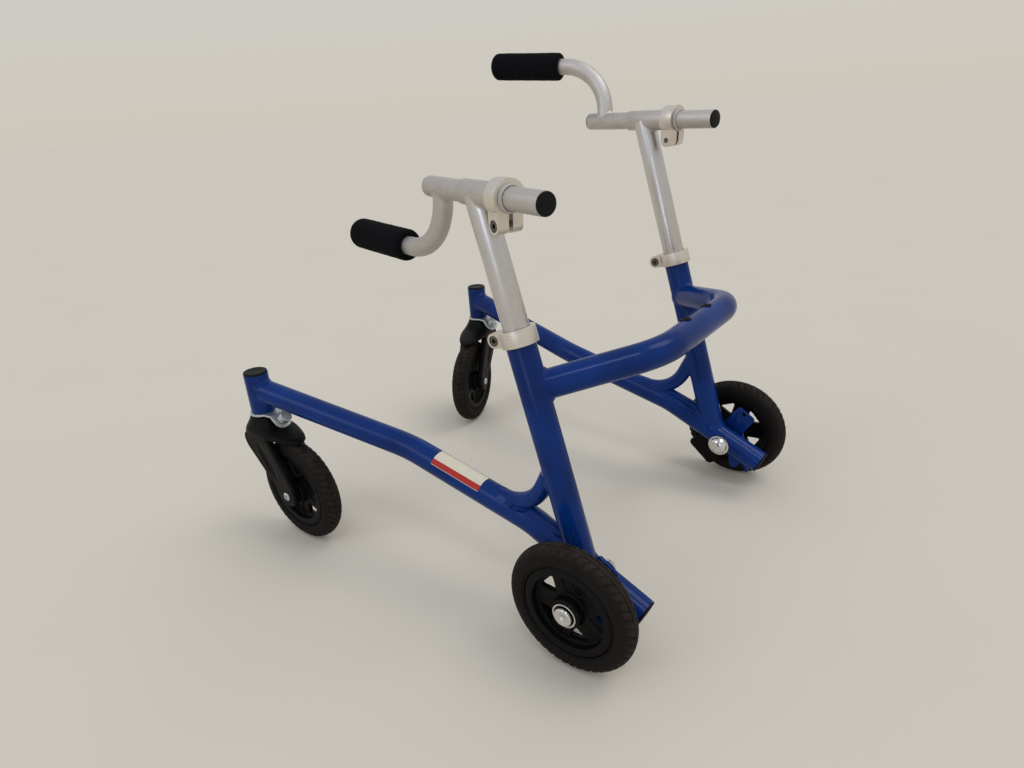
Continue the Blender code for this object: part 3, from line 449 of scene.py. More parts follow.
def moulding(name, slot, colours, rough, grain, gloss):
    """Moulded nylon or acetal: spark-eroded tool skin, a fine even grain that spreads each highlight."""
    made, tree, shader, where = finish_of(name, slot)
    cloud = add(tree, "TexNoise", "Fac", {"Vector": where, "Scale": 40.0, "Detail": 4.0})
    tone = add(tree, "MapRange", "Result", {"Value": cloud, "From Min": 0.35, "From Max": 0.7})
    body = add(tree, "Mix", 2, {0: tone, 6: colours[0], 7: colours[1]}, data_type="RGBA")
    shine = add(tree, "MapRange", "Result", {"Value": cloud, "From Min": 0.3, "From Max": 0.7,
                                             "To Min": rough[0], "To Max": rough[1]})
    # grains of about a millimetre, coarser than the tool's own
    spark = add(tree, "TexNoise", "Fac", {"Vector": where, "Scale": 1100.0, "Detail": 1.0})
    skin = add(tree, "Bump", "Normal", {"Height": spark, "Distance": grain})
    feed(tree, shader, {"Base Color": body, "Roughness": shine, "Normal": skin, "Specular IOR Level": gloss})
    return made


def tyre_rubber():
    """Solid rubber on a foamed core: charcoal, dusted brown where the tread meets the ground."""
    made, tree, shader, where = finish_of("tyre_rubber", "tyre_rubber")
    dust = add(tree, "Attribute", "Fac", {}, attribute_name="dust")
    cloud = add(tree, "TexNoise", "Fac", {"Vector": where, "Scale": 85.0, "Detail": 4.0})
    patchy = add(tree, "MapRange", "Result", {"Value": cloud, "From Min": 0.35, "From Max": 0.7,
                                              "To Min": 0.25})
    amount = add(tree, "Math", 0, {0: dust, 1: patchy}, operation="MULTIPLY")
    base = add(tree, "Mix", 2, {0: cloud, 6: "#0D0B0A", 7: "#171412"}, data_type="RGBA")
    worn = add(tree, "Mix", 2, {0: amount, 6: base, 7: "#2E2620"}, data_type="RGBA")
    dull = add(tree, "MapRange", "Result", {"Value": cloud, "From Min": 0.3, "From Max": 0.7,
                                            "To Min": 0.58, "To Max": 0.78})
    scuff = add(tree, "TexNoise", "Fac", {"Vector": where, "Scale": 900.0, "Detail": 3.0})
    skin = add(tree, "Bump", "Normal", {"Height": scuff, "Distance": 0.00010})
    feed(tree, shader, {"Base Color": worn, "Roughness": dull, "Normal": skin, "Specular IOR Level": 0.13})
    return made


def closed_cell_foam():
    """Closed-cell foam: black and dull, its cut cells drawn about a millimetre across so that they show."""
    made, tree, shader, where = finish_of("closed_cell_foam", "grip_foam")
    cells = add(tree, "TexVoronoi", "Distance", {"Vector": where, "Scale": 950.0})
    tone = add(tree, "MapRange", "Result", {"Value": cells, "From Min": 0.1, "From Max": 0.7})
    body = add(tree, "Mix", 2, {0: tone, 6: "#060608", 7: "#131216"}, data_type="RGBA")
    skin = add(tree, "Bump", "Normal", {"Height": cells, "Distance": 0.00020})
    feed(tree, shader, {"Base Color": body, "Roughness": 0.95, "Normal": skin, "Specular IOR Level": 0.06})
    return made


def paper_label():
    """Vinyl-faced paper label: cream above a plain red band, slightly glossy, a little soiled."""
    made, tree, shader, where = finish_of("plain_label", "blue_powder_coat")
    flat = add(tree, "TexCoord", "UV", {})
    across = add(tree, "SeparateXYZ", "Y", {"Vector": flat})
    band = add(tree, "MapRange", "Result", {"Value": across, "From Min": 0.295, "From Max": 0.305,
                                            "To Min": 1.0, "To Max": 0.0})
    rim = add(tree, "MapRange", "Result", {"Value": across, "From Min": 0.015, "From Max": 0.025,
                                           "To Min": 1.0, "To Max": 0.0})
    soil = add(tree, "TexNoise", "Fac", {"Vector": where, "Scale": 110.0, "Detail": 3.0})
    cream = add(tree, "Mix", 2, {0: soil, 6: "#D6CFBC", 7: "#C8C1AE"}, data_type="RGBA")
    red = add(tree, "Mix", 2, {0: band, 6: cream, 7: "#A8261C"}, data_type="RGBA")
    edged = add(tree, "Mix", 2, {0: rim, 6: red, 7: "#CFC8B6"}, data_type="RGBA")
    feed(tree, shader, {"Base Color": edged, "Roughness": 0.46, "Specular IOR Level": 0.25})
    return made


def make_finishes():
    return {
        "paint": powder_coat(), "rubber": tyre_rubber(), "foam": closed_cell_foam(), "label": paper_label(),
        "zinc": plated("zinc_plate", "zinc_plated_steel", ("#D2D5D3", "#BEC2C0"), (0.46, 0.58), 0.004),
        "chrome": plated("chrome_plate", "chromed_steel", ("#DEDDDB", "#D0CECB"), (0.10, 0.18), 0.008),
        "steel": plated("black_oxide_steel", "dark_screw_steel", ("#77736E", "#5A5652"), (0.34, 0.44), 0.003),
        "nylon": moulding("glass_filled_nylon", "black_moulded_plastic", ("#080707", "#0E0C0B"), (0.36, 0.48),
                          0.00004, 0.09),
        "cap": moulding("soft_cap_plastic", "black_cap_plastic", ("#0B0B0C", "#131314"), (0.46, 0.60),
                        0.00004, 0.14),
        "liner": moulding("acetal_liner", "grey_liner_plastic", ("#B4B1AD", "#A5A29E"), (0.36, 0.46),
                          0.00001, 0.4),
        "machined": machined("machined_collar", up_dir()),
        "post": anodised("anodised_post", up_dir(), ("#D0CECD", "#C3BFBC", "#B6B0A9"), (0.27, 0.33),
                         (1, 1, 0.02)),
    }


# Side frames

def upright_point(side, z):
    return Vector((UPRIGHT_X * side, FOOT_Y - RAKE * (z - FOOT_Z), z))


def up_dir():
    return Vector((0, -RAKE, 1)).normalized()


def mirror_x(point, side):
    return Vector((point[0] * side, point[1], point[2]))


def rail_path(side):
    return rounded_path([mirror_x(p, side) for p in RAIL], RAIL_BENDS, RAIL_STEPS)


def gusset_path(side):
    """The bent tube from the rail up to the upright."""
    bend = arc((-0.1170, 0.1970), 0.0570, -95, -25, 20)
    spots = [(-0.1600, 0.1435), (-0.1220, 0.1402)] + bend + [(-0.0500, 0.2050)]
    return [Vector((GUSSET_X * side, REAR_Y + y, z)) for y, z in spots]


def head_drill(side):
    return rod((HEAD_X * side, HEAD_Y, 0.1), (HEAD_X * side, HEAD_Y, 0.3), HEAD_COPE_R)


def upright_drill(side):
    return rod(upright_point(side, 0.05), upright_point(side, 0.42), COPE_R)


def axle_drill(side):
    return rod((0.14 * side, REAR_Y, WHEEL_R), (0.27 * side, REAR_Y, WHEEL_R), AXLE_HOLE_R, 40)


def side_frame(label, side):
    """Rail, upright, curved gusset, strut and swivel head, with the welds between them."""
    paint = FINISH["paint"]
    path = rail_path(side)
    rail = swept(path, TUBE_R, 64)
    rail = carved(rail, swept([path[-2].lerp(path[-1], 0.7), path[-1] * 2 - path[-2]], RAIL_BORE, 48))
    rail = carved(carved(rail, head_drill(side)), axle_drill(side))
    piece(rail, f"{label}_rail_tube", "frame", paint, f"{label}_rail")
    # the upright stands on the rail and ends under the collar's lip
    foot_z, under = 0.0885, COLLAR_H / 2 - 0.0046
    top = upright_point(side, COLLAR_Z) + up_dir() * under
    tube = pipe(upright_point(side, foot_z), top, TUBE_R, UPRIGHT_BORE)
    piece(tube, f"{label}_upright_tube", "frame", paint, f"{label}_upright")
    curve = swept(gusset_path(side), GUSSET_R)
    fore, aft = (GUSSET_X * side, REAR_Y - 0.1064, 0.1410), (GUSSET_X * side, REAR_Y - 0.0394, 0.1158)
    strut = rod(fore, aft, STRUT_R, 40)
    brace = carved(gathered(curve, strut), upright_drill(side))
    piece(brace, f"{label}_gusset_tube", "frame", paint, f"{label}_gusset")
    ring = turned([(HEAD_R, HEAD_TOP), (HEAD_R, HEAD_BOTTOM), (HEAD_BORE, HEAD_BOTTOM),
                   (HEAD_BORE, HEAD_TOP)])
    head = put(soften(ring, 0.0007), Matrix.Translation((HEAD_X * side, HEAD_Y, 0)))
    piece(head, f"{label}_swivel_head", "frame", paint, f"{label}_head_tube")
    piece(side_welds(side, path), f"{label}_frame_welds", "frame", paint)


def gusset_foot(row, lead):
    """Brings the line round the gusset's foot back to where the bent tube leaves the rail."""
    spot, out, lift = row
    # its sides leave the rail 104 mm before the axle, its middle 19 mm later
    across = min(abs(abs(spot.x) - GUSSET_X) / GUSSET_R, 1.0)
    furthest = REAR_Y - 0.1040 + 0.0190 * (1 - across ** 2) ** 0.5
    if spot.y <= furthest:
        return row
    return spot + lead * ((furthest - spot.y) / lead.y), (out + lead).normalized(), min(lift, 0.6)


def side_welds(side, path):
    """The beads round each joint of one side frame."""
    head = Vector((HEAD_X * side, HEAD_Y, 0))
    nose = (path[1] - path[0]).normalized()
    knee = (path[-1] - path[-2]).normalized()
    beads = [weld(saddle(head, (0, 0, 1), HEAD_R, path[0] + nose * 0.05, -nose, TUBE_R))]
    beads.append(weld(saddle(path[-1], knee, TUBE_R, upright_point(side, 0.20), -up_dir(), TUBE_R)))
    # the gusset's two ends, and the rail's middle straight that its foot lies on
    low, high = gusset_path(side)[0], gusset_path(side)[-1]
    flat, rise = Vector((0, -0.038, 0.0033)).normalized(), Vector((0, 0.0153, 0.0321)).normalized()
    before, after = path[RAIL_STEPS + 1:RAIL_STEPS + 3]
    lead = (after - before).normalized()
    seam = saddle(upright_point(side, 0.2), up_dir(), TUBE_R, high - rise * 0.05, rise, GUSSET_R, 40)
    beads.append(weld(seam, SMALL_BEAD))
    seam = saddle(after, lead, TUBE_R, low - flat * 0.055, flat, GUSSET_R, 40)
    beads.append(weld([gusset_foot(row, lead) for row in seam], FINE_BEAD))
    beads = bore_clear(gathered(*beads), upright_point(side, 0.2), up_dir(), COPE_R)
    return bore_clear(beads, head, Vector((0, 0, 1)), HEAD_COPE_R)


def crossbar_path():
    ends = [upright_point(1, CROSSBAR_Z), upright_point(-1, CROSSBAR_Z)]
    corners = [CROSSBAR_CORNER, mirror_x(CROSSBAR_CORNER, -1)]
    return rounded_path([ends[0], *corners, ends[1]], (CROSSBAR_BEND,) * 2, 24)


def crossbar_normal():
    """Square to the tilted plane that the crossbar is bent in."""
    rise = CROSSBAR_CORNER - upright_point(1, CROSSBAR_Z)
    return Vector((0, -rise.z, rise.y)).normalized()


def crossbar():
    """The bent bar behind the user, with two threaded inserts in its top."""
    path = crossbar_path()
    bar = swept(path, TUBE_R, 64)
    for _, side in SIDES:
        bar = carved(bar, upright_drill(side))
    for label, side in SIDES:
        top = Vector((INSERT_X * side, CROSSBAR_CORNER.y, CROSSBAR_CORNER.z)) + crossbar_normal() * TUBE_R
        bar = carved(bar, rod(top - crossbar_normal() * 0.012, top + crossbar_normal() * 0.004, 0.0052, 40))
        lip = turned([(0.0060, 0.0010), (0.0066, 0.0004), (0.0066, -0.0006), (0.0050, -0.0006),
                      (0.0050, -0.011), (0.0028, -0.011), (0.0028, -0.0008), (0.0042, 0.0010)], 40)
        piece(put(soften(lip, 0.0002, 2), along(top, crossbar_normal())), f"{label}_threaded_insert", "frame",
              FINISH["cap"], f"{label}_crossbar_insert")
    piece(bar, "crossbar_tube", "frame", FINISH["paint"], "rear_crossbar")
    beads = []
    for _, side in SIDES:
        end = upright_point(side, CROSSBAR_Z)
        run = (mirror_x(CROSSBAR_CORNER, side) - end).normalized()
        bead = weld(saddle(end, up_dir(), TUBE_R, end + run * 0.04, -run, TUBE_R))
        beads.append(bore_clear(bead, end, up_dir(), COPE_R))
    piece(gathered(*beads), "crossbar_welds", "frame", FINISH["paint"])


def end_caps(label, side):
    """The pressed-in caps on the swivel head and the rail's end."""
    dome = [(0, 0.0026), (0.0105, 0.0028), (0.0118, 0.0032), (0.0148, 0.0032), (0.0158, 0.0022),
            (0.0159, 0.0003), (0.0137, 0.0003), (0.0134, -0.0035), (0, -0.0035)]
    cap = put(soften(turned(dome), 0.0003, 2, 25), Matrix.Translation((HEAD_X * side, HEAD_Y, HEAD_TOP)))
    piece(cap, f"{label}_head_plug", "frame", FINISH["cap"], f"{label}_head_cap")
    path = rail_path(side)
    end = [(0, 0.0034), (0.0080, 0.0033), (0.0148, 0.0028), (0.0158, 0.0018), (0.0158, 0.0003),
           (0.0138, 0.0003), (0.0132, -0.008), (0, -0.008)]
    plug = put(soften(turned(end), 0.0003, 2, 25), along(path[-1], path[-1] - path[-2]))
    piece(plug, f"{label}_rail_end_plug", "frame", FINISH["cap"], f"{label}_rail_plug")


def label_sticker():
    """A thin label wrapped over the top and outside of the left rail."""
    start, end, radius = Vector((0.1878, 0.0075, 0.1564)), Vector((0.18635, 0.0778, 0.1389)), 0.01612
    place = place_of((1, 0, 0), end - start, start)
    length = (end - start).length
    bm = bmesh.new()
    uv = bm.loops.layers.uv.new("label")
    bmesh.ops.create_grid(bm, x_segments=24, y_segments=24, size=0.5)
    for face in bm.faces:
        for loop in face.loops:
            loop[uv].uv = (loop.vert.co.x + 0.5, loop.vert.co.y + 0.5)
    for v in bm.verts:
        turn = radians(27 + 90 * (v.co.y + 0.5))
        v.co = place @ Vector((radius * cos(turn), -radius * sin(turn), length * (v.co.x + 0.5)))
    bmesh.ops.recalc_face_normals(bm, faces=bm.faces)
    bmesh.ops.solidify(bm, geom=bm.faces[:], thickness=-0.00012)
    # growing outwards leaves the closed sheet's faces turned inwards
    bmesh.ops.recalc_face_normals(bm, faces=bm.faces)
    piece(bm, "plain_label", "frame", FINISH["label"])


# Rear wheels and what holds them

def tyre():
    """The tyre about Z: ridged sidewalls, a centre rib and slanting grooves across both shoulders."""
    half = [(0.0537, 0.0090), (0.0537, 0.0110), (0.0545, 0.0119), (0.0552, 0.0113), (0.0558, 0.0113),
            (0.0566, 0.0124), (0.0590, 0.0129), (0.0618, 0.01295), (0.0634, 0.0127), (0.0650, 0.0124),
            (0.0668, 0.0120), (0.0684, 0.0114), (0.0698, 0.0106), (0.0711, 0.0096), (0.0723, 0.0083),
            (0.0733, 0.0068), (0.0740, 0.0053), (0.0745, 0.0039), (0.0746, 0.0029), (0.0738, 0.0026),
            (0.0738, 0.0021), (0.0749, 0.0018), (0.0750, 0.0)]
    # 46 grooves a side, each two of its eight columns wide, half a step apart on the two shoulders
    grooves, columns, depth, slant = 46, 8, 0.0013, 0.62
    bm = turned(half + [(r, -h) for r, h in reversed(half[:-1])], grooves * columns)
    layer = bm.verts.layers.float.new("dust")
    for v in bm.verts:
        r, h = v.co.xy.length, abs(v.co.z)
        v[layer] = min(max((r - 0.0660) / 0.008, 0.0), 1.0)
        column = round(Vector((1, 0)).angle_signed(v.co.xy) / (2 * pi) * grooves * columns)
        if h > 0.0025 and r > 0.0640:
            if (column + (columns // 2 if v.co.z < 0 else 0)) % columns < 2:
                deep = depth * min(max((r - 0.0664) / 0.0040, 0.0), 1.0)
                r, h = r - deep * (r - 0.0600) / 0.0145, h - deep * h / 0.0145
            v.co = Vector((v.co.x, v.co.y, 0)).normalized() * r + Vector((0, 0, h if v.co.z > 0 else -h))
            v.co = Matrix.Rotation(slant * (h - 0.0029) / r, 3, "Z") @ v.co
    return bm


def wheel_centre(hub_half, bore):
    """The moulded rim about Z: flanges, a ribbed web with five rounded openings, and the hub."""
    half = [(bore, hub_half), (0.0158, hub_half), (0.0172, hub_half - 0.0012), (0.0182, 0.0035),
            (0.0420, 0.0035), (0.0433, 0.0108), (0.0440, 0.0113), (0.0515, 0.0113), (0.0522, 0.0106),
            (0.0534, 0.0104)]
    bm = turned(both_ways(half), 144)
    ribs, step = [], 360 / SPOKES
    for k in range(SPOKES):
        window = plate([(0.0212, 0.0), (0.0385, 0.0128), (0.0385, -0.0128)], 0.03)
        corners = [e for e in window.edges if abs((e.verts[0].co - e.verts[1].co).z) > 0.02]
        bmesh.ops.bevel(window, geom=corners, offset=0.0040, offset_type="OFFSET", segments=5, profile=0.5,
                        affect="EDGES", material=-1)
        bm = carved(bm, put(window, Matrix.Rotation(radians(step * k - 4), 4, "Z")))
        rib = bmesh.new()
        bmesh.ops.create_cube(rib, size=1)
        put(rib, Matrix.Rotation(radians(step * k + 32), 4, "Z") @ Matrix.Translation((0.0302, 0, 0))
            @ Matrix.Diagonal((0.0280, 0.0016, 0.0112, 1)))
        ribs.append(rib)
    return moulded(gathered(bm, *ribs), 0.00075, 3)


def copy_at(bm, matrix):
    return put(bm.copy(), matrix)


def wheel_place(centre, axis):
    """Z along the axle, X level."""
    return place_of(Vector((0, 0, 1)).cross(Vector(axis)), axis, centre)


def rear_wheel(label, side):
    """Tyre, five-spoke centre and the bearing with its seal."""
    centre, axis = (REAR_X * side, REAR_Y, WHEEL_R), (side, 0, 0)
    place = wheel_place(centre, axis)
    body = f"{label}_rear_wheel"
    piece(copy_at(TYRE, place), f"{label}_rear_tread", body, FINISH["rubber"], f"{label}_rear_tyre")
    piece(copy_at(REAR_RIM, place), f"{label}_rear_wheel_centre", body, FINISH["nylon"],
          f"{label}_rear_rim", smooth=60)
    race = [(0.0140, 0.0158), (0.0140, -0.0144), (0.0066, -0.0144), (0.0066, 0.0136), (0.0112, 0.0136),
            (0.0114, 0.0140), (0.0122, 0.0140), (0.0122, 0.0158)]
    bm = put(tidy(soften(turned(race), 0.0003, 2)), place)
    piece(bm, f"{label}_bearing_race", body, FINISH["chrome"], f"{label}_rear_bearing")
    seal = turned([(0.0070, 0.0139), (0.0070, 0.0143), (0.0092, 0.0147), (0.0118, 0.0145), (0.0120, 0.0142)])
    piece(put(seal, place), f"{label}_bearing_seal", body, FINISH["cap"])


def rear_fixings(label, side):
    """Axle bolt with its domed inner and dished outer head, the welded plate and the moulded stop."""
    outer = REAR_X + 0.0197
    profile = [(0, 0.1578), (0.0040, 0.1580), (0.0078, 0.1590), (0.0108, 0.1610), (0.0126, 0.1638),
               (0.0130, 0.1668), (0.0150, 0.1670), (0.0150, 0.1685), (0.0058, 0.1685),
               (0.0058, outer - 0.0035), (0.0101, outer - 0.0035), (0.0104, outer - 0.0026),
               (0.0104, outer - 0.0010), (0.0098, outer - 0.0002), (0.0088, outer),
               (0.0050, outer - 0.0004), (0.0030, outer - 0.0010), (0.0016, outer - 0.0024),
               (0, outer - 0.0026)]
    bm = put(turned(profile), along((0, REAR_Y, WHEEL_R), (side, 0, 0)))
    piece(bm, f"{label}_axle_bolt", "frame", FINISH["chrome"], f"{label}_rear_axle", smooth=50)
    tab = soften(cad_copy(f"{label}_axle_plate"), 0.0005, 2, 40)
    piece(tab, f"{label}_hooked_plate", "frame", FINISH["paint"], f"{label}_axle_plate")
    block = moulded(cad_copy(f"{label}_stop_block"), 0.0007, 4)
    piece(block, f"{label}_moulded_stop", "frame", FINISH["nylon"], f"{label}_stop_block", smooth=60)
    spots = ((0.0010, 0.0985), (0.0068, 0.1065), (0.0126, 0.1145))
    seam = [Vector(((UPRIGHT_X + TUBE_R) * side, REAR_Y + y, z)) for y, z in spots]
    piece(swept(seam, 0.0017, 12), f"{label}_plate_weld", "frame", FINISH["paint"])


# Casters

def fork_place(side):
    """X across the fork, Y towards the wheel, Z up, at the swivel axis."""
    angle = radians(TRAIL_DEG[side])
    back = Vector((cos(angle), sin(angle), 0))
    return place_of((back.y, -back.x, 0), (0, 0, 1), (HEAD_X * side, HEAD_Y, 0))


def fork_leg(edge):
    """One swept leg with a raised ridge down its front."""
    front = [(-0.0185, 0.1575), (-0.0215, 0.1515), (-0.0205, 0.1435), (-0.0165, 0.1360), (-0.0080, 0.1270),
             (0.0090, 0.1080), (0.0250, 0.0900)]
    rear = [(0.0690, 0.0930), (0.0580, 0.1120), (0.0470, 0.1290), (0.0385, 0.1445), (0.0300, 0.1575)]
    stand = Matrix(((0, 0, 1, edge * (FORK_IN + FORK_OUT) / 2), (1, 0, 0, 0), (0, 1, 0, 0), (0, 0, 0, 1)))
    outline = front + arc((TRAIL, WHEEL_R), 0.0170, 170, 370, 24) + rear
    leg = put(soften(plate(outline, FORK_OUT - FORK_IN), 0.0036, 4, 50), stand)
    middle = edge * 0.0235
    line = [Vector((middle, y + 0.0036, z)) for y, z in front[1:]]
    ridge = swept(line + [Vector((middle, 0.0405, 0.0780))], 0.0032, 16)
    boss = rod((edge * 0.0160, TRAIL, WHEEL_R), (edge * 0.0257, TRAIL, WHEEL_R), 0.0125, 48)
    return gathered(leg, ridge, soften(boss, 0.0012, 3))


def fork_dome():
    """The crown and hood in one: round on top, squarer and drawn out over the wheel below."""
    skin = [(front, CROWN_TOP - down) for front, _, down in DOME]
    body = turned([(0, CROWN_TOP)] + skin + [(0, skin[-1][1])], 96)
    for v in body.verts:
        reach = v.co.xy.length
        if reach > 0.001:
            down = CROWN_TOP - v.co.z
            front, rear, _ = min(DOME, key=lambda row: abs(row[2] - down))
            power = 2.0 + min(down / 0.0200, 1.0)
            swell = (abs(v.co.x / reach) ** power + abs(v.co.y / reach) ** power) ** (-1 / power)
            v.co.y *= swell * (rear / front if v.co.y > 0 else 1.0)
            back = max(v.co.y - 0.0300, 0.0)
            v.co.x *= swell * (1 - 6.5 * back)
            v.co.z -= 2.0 * back ** 2
    return body


def fork_body():
    """The moulded fork: crown, hood and two legs, run together, cut out round the wheel and drilled
    for its bolt, with a small hole in the crown's front and a hollow down each leg."""
    well, bolt_hole, front_hole = WHEEL_R + 0.0055, 0.0043, 0.0028
    whole = moulded(gathered(fork_dome(), fork_leg(1), fork_leg(-1)), 0.0010, 4)
    whole = carved(whole, rod((-FORK_IN, TRAIL, WHEEL_R), (FORK_IN, TRAIL, WHEEL_R), well, 96))
    whole = carved(whole, rod((-0.04, TRAIL, WHEEL_R), (0.04, TRAIL, WHEEL_R), bolt_hole, 32))
    whole = carved(whole, rod((0, -0.040, 0.1660), (0, -0.018, 0.1660), front_hole, 24))
    for edge in (1, -1):
        valley = [(0.0440, 0.0095, 0.1490), (0.0421, 0.0180, 0.1320), (0.0419, 0.0300, 0.1130),
                  (0.0440, 0.0420, 0.0960)]
        whole = carved(whole, swept([Vector((edge * x, y, z)) for x, y, z in valley], 0.0180, 48))
    return moulded(whole, 0.0008, 3)


def caster(label, side):
    """The fork with its bearing stem and bolt, and the wheel in it."""
    place = fork_place(side)
    fork, wheel = f"{label}_fork", f"{label}_caster_wheel"
    piece(copy_at(FORK, place), f"{label}_moulded_fork", fork, FINISH["nylon"], f"{label}_caster_fork",
          smooth=60)
    stem = turned([(0, 0.2355), (0.0134, 0.2355), (0.0134, 0.1870), (0.0060, 0.1870), (0.0060, 0.1780),
                   (0, 0.1780)])
    piece(put(stem, place), f"{label}_stem_bearing", fork, FINISH["zinc"])
    centre = place @ Vector((0, TRAIL, WHEEL_R))
    at = place_of((0, 0, 1), place.to_3x3() @ Vector((1, 0, 0)), centre)
    end = [(0, 0.0256), (0.0023, 0.0258), (0.0026, 0.0281), (0.0048, 0.0281), (0.0060, 0.0272),
           (0.0060, 0.0263), (0.0039, 0.0263)]
    bolt = turned(both_ways(end), 48)
    piece(put(bolt, at), f"{label}_fork_bolt", fork, FINISH["zinc"], f"{label}_caster_axle")
    piece(copy_at(TYRE, at), f"{label}_caster_tread", wheel, FINISH["rubber"], f"{label}_caster_tyre")
    piece(copy_at(CASTER_RIM, at), f"{label}_caster_wheel_centre", wheel, FINISH["nylon"],
          f"{label}_caster_rim", smooth=60)


def swivel_lock(label, side):
    """The bent zinc plate under the swivel head and its spring plunger."""
    sheet = soften(cad_copy(f"{label}_lock_bracket"), 0.0005, 2, 40)
    piece(sheet, f"{label}_lock_plate", "frame", FINISH["zinc"], f"{label}_lock_bracket")
    lean, turn = radians(50), radians(8)
    back = Vector((-sin(turn) * side, cos(turn), 0))
    down = back * cos(lean) + Vector((0, 0, -sin(lean)))
    out = back * sin(lean) + Vector((0, 0, cos(lean)))
    middle = Vector((HEAD_X * side, HEAD_Y, 0.1849)) + back * 0.0270 + down * 0.0115
    knob = [(0, 0.0119), (0.0064, 0.0121), (0.0076, 0.0125), (0.0084, 0.0117), (0.0084, 0.0052),
            (0.0078, 0.0046), (0.0078, 0.0040), (0.0082, 0.0034), (0.0062, 0.0030), (0.0062, 0.0006),
            (0.0032, 0.0006), (0.0032, -0.0060), (0.0024, -0.0075), (0, -0.0075)]
    piece(put(turned(knob, 56), along(middle, out)), f"{label}_plunger_knob", f"{label}_plunger",
          FINISH["zinc"], f"{label}_lock_plunger")


# Posts, clamps and handles

def handle_frame(side):
    """The sliding tube's own directions and points, from the handle's angles."""
    spec = HANDLES[side]
    yaw, pitch, roll, turn = (radians(spec[k]) for k in ("yaw", "pitch", "roll", "turn"))
    w = Vector((sin(yaw) * cos(pitch), cos(yaw) * cos(pitch), sin(pitch)))
    over = upright_point(side, spec["z"])
    front = over - w * SLIDE_AHEAD
    across = w.cross(Vector((0, 0, 1))).normalized()
    up = across.cross(w)
    n = (up * cos(roll) + across * sin(roll)) * spec["up"]
    tilt = radians(GRIP_TILT)
    fw = (-w * cos(tilt) - n * sin(tilt)) * cos(turn) + w.cross(n) * sin(turn)
    root = front + w * NECK_FROM
    return {"w": w, "over": over, "front": front, "up": up, "n": n, "fw": fw, "root": root,
            "knee": root + n * NECK_DROP, "back": front + w * SLIDE_LENGTH}


def split_ring(outer, bore, width, reach, half, slit, head, lip_bore=None):
    """A clamp about Z with two ears along X, split between them, counterbored for its screw."""
    ear_r, hole_r, recess_r, recess = 0.0082, 0.0033, 0.0058, 0.0030
    body = rod((0, 0, -width / 2), (0, 0, width / 2), outer, 96)
    root = bore - 0.0030
    ear = [(root, width / 2)] + arc((reach, 0), ear_r, 80, -80, 28) + [(root, -width / 2)]
    stand = Matrix(((1, 0, 0, 0), (0, 0, -1, 0), (0, 1, 0, 0), (0, 0, 0, 1)))
    body = soften(carved(body, put(plate(ear, 2 * half), stand), "UNION"), 0.0010, 3, 50)
    slot = put(plate([(root, -0.02), (0.06, -0.02), (0.06, 0.02), (root, 0.02)], slit), stand)
    body = carved(body, slot)
    body = carved(body, rod((reach, -0.03, 0), (reach, 0.03, 0), hole_r, 32))
    body = carved(body, rod((reach, head * (half - recess), 0), (reach, head * 0.03, 0), recess_r, 40))
    upper = 0.02 if lip_bore is None else width / 2 - 0.0040
    body = carved(body, rod((0, 0, -0.02), (0, 0, upper), bore, 96))
    if lip_bore:
        body = carved(body, rod((0, 0, 0), (0, 0, 0.02), lip_bore, 96))
    return body


def socket_screw(head, half):
    """A socket head cap screw along Y, with its hexagon socket."""
    top, seat, foot = half - 0.0002, half - 0.0027, 0.0003 - half
    bm = turned([(0, top), (0.0046, top), (0.0052, top - 0.0006), (0.0052, seat), (0.0030, seat),
                 (0.0030, foot), (0, foot)], 48)
    bm = carved(bm, rod((0, 0, seat - 0.0010), (0, 0, half + 0.001), 0.0027, 6))
    return put(bm, along((0, 0, 0), (0, head, 0)))


def height_collar(label, side):
    """The clamp on top of the upright, its ears to the front."""
    place = place_of((0, -1, 0), up_dir(), upright_point(side, COLLAR_Z))
    head = 1 if (place.to_3x3() @ Vector((0, 1, 0))).x > 0 else -1
    ring = split_ring(COLLAR_R, 0.0166, COLLAR_H, COLLAR_REACH, COLLAR_EAR, 0.0020, head, 0.0146)
    body = f"{label}_collar"
    piece(put(ring, place), f"{label}_split_collar", body, FINISH["machined"], f"{label}_height_collar")
    screw = put(socket_screw(head, COLLAR_EAR), place @ Matrix.Translation((COLLAR_REACH, 0, 0)))
    piece(screw, f"{label}_collar_cap_screw", body, FINISH["steel"], f"{label}_collar_screw")


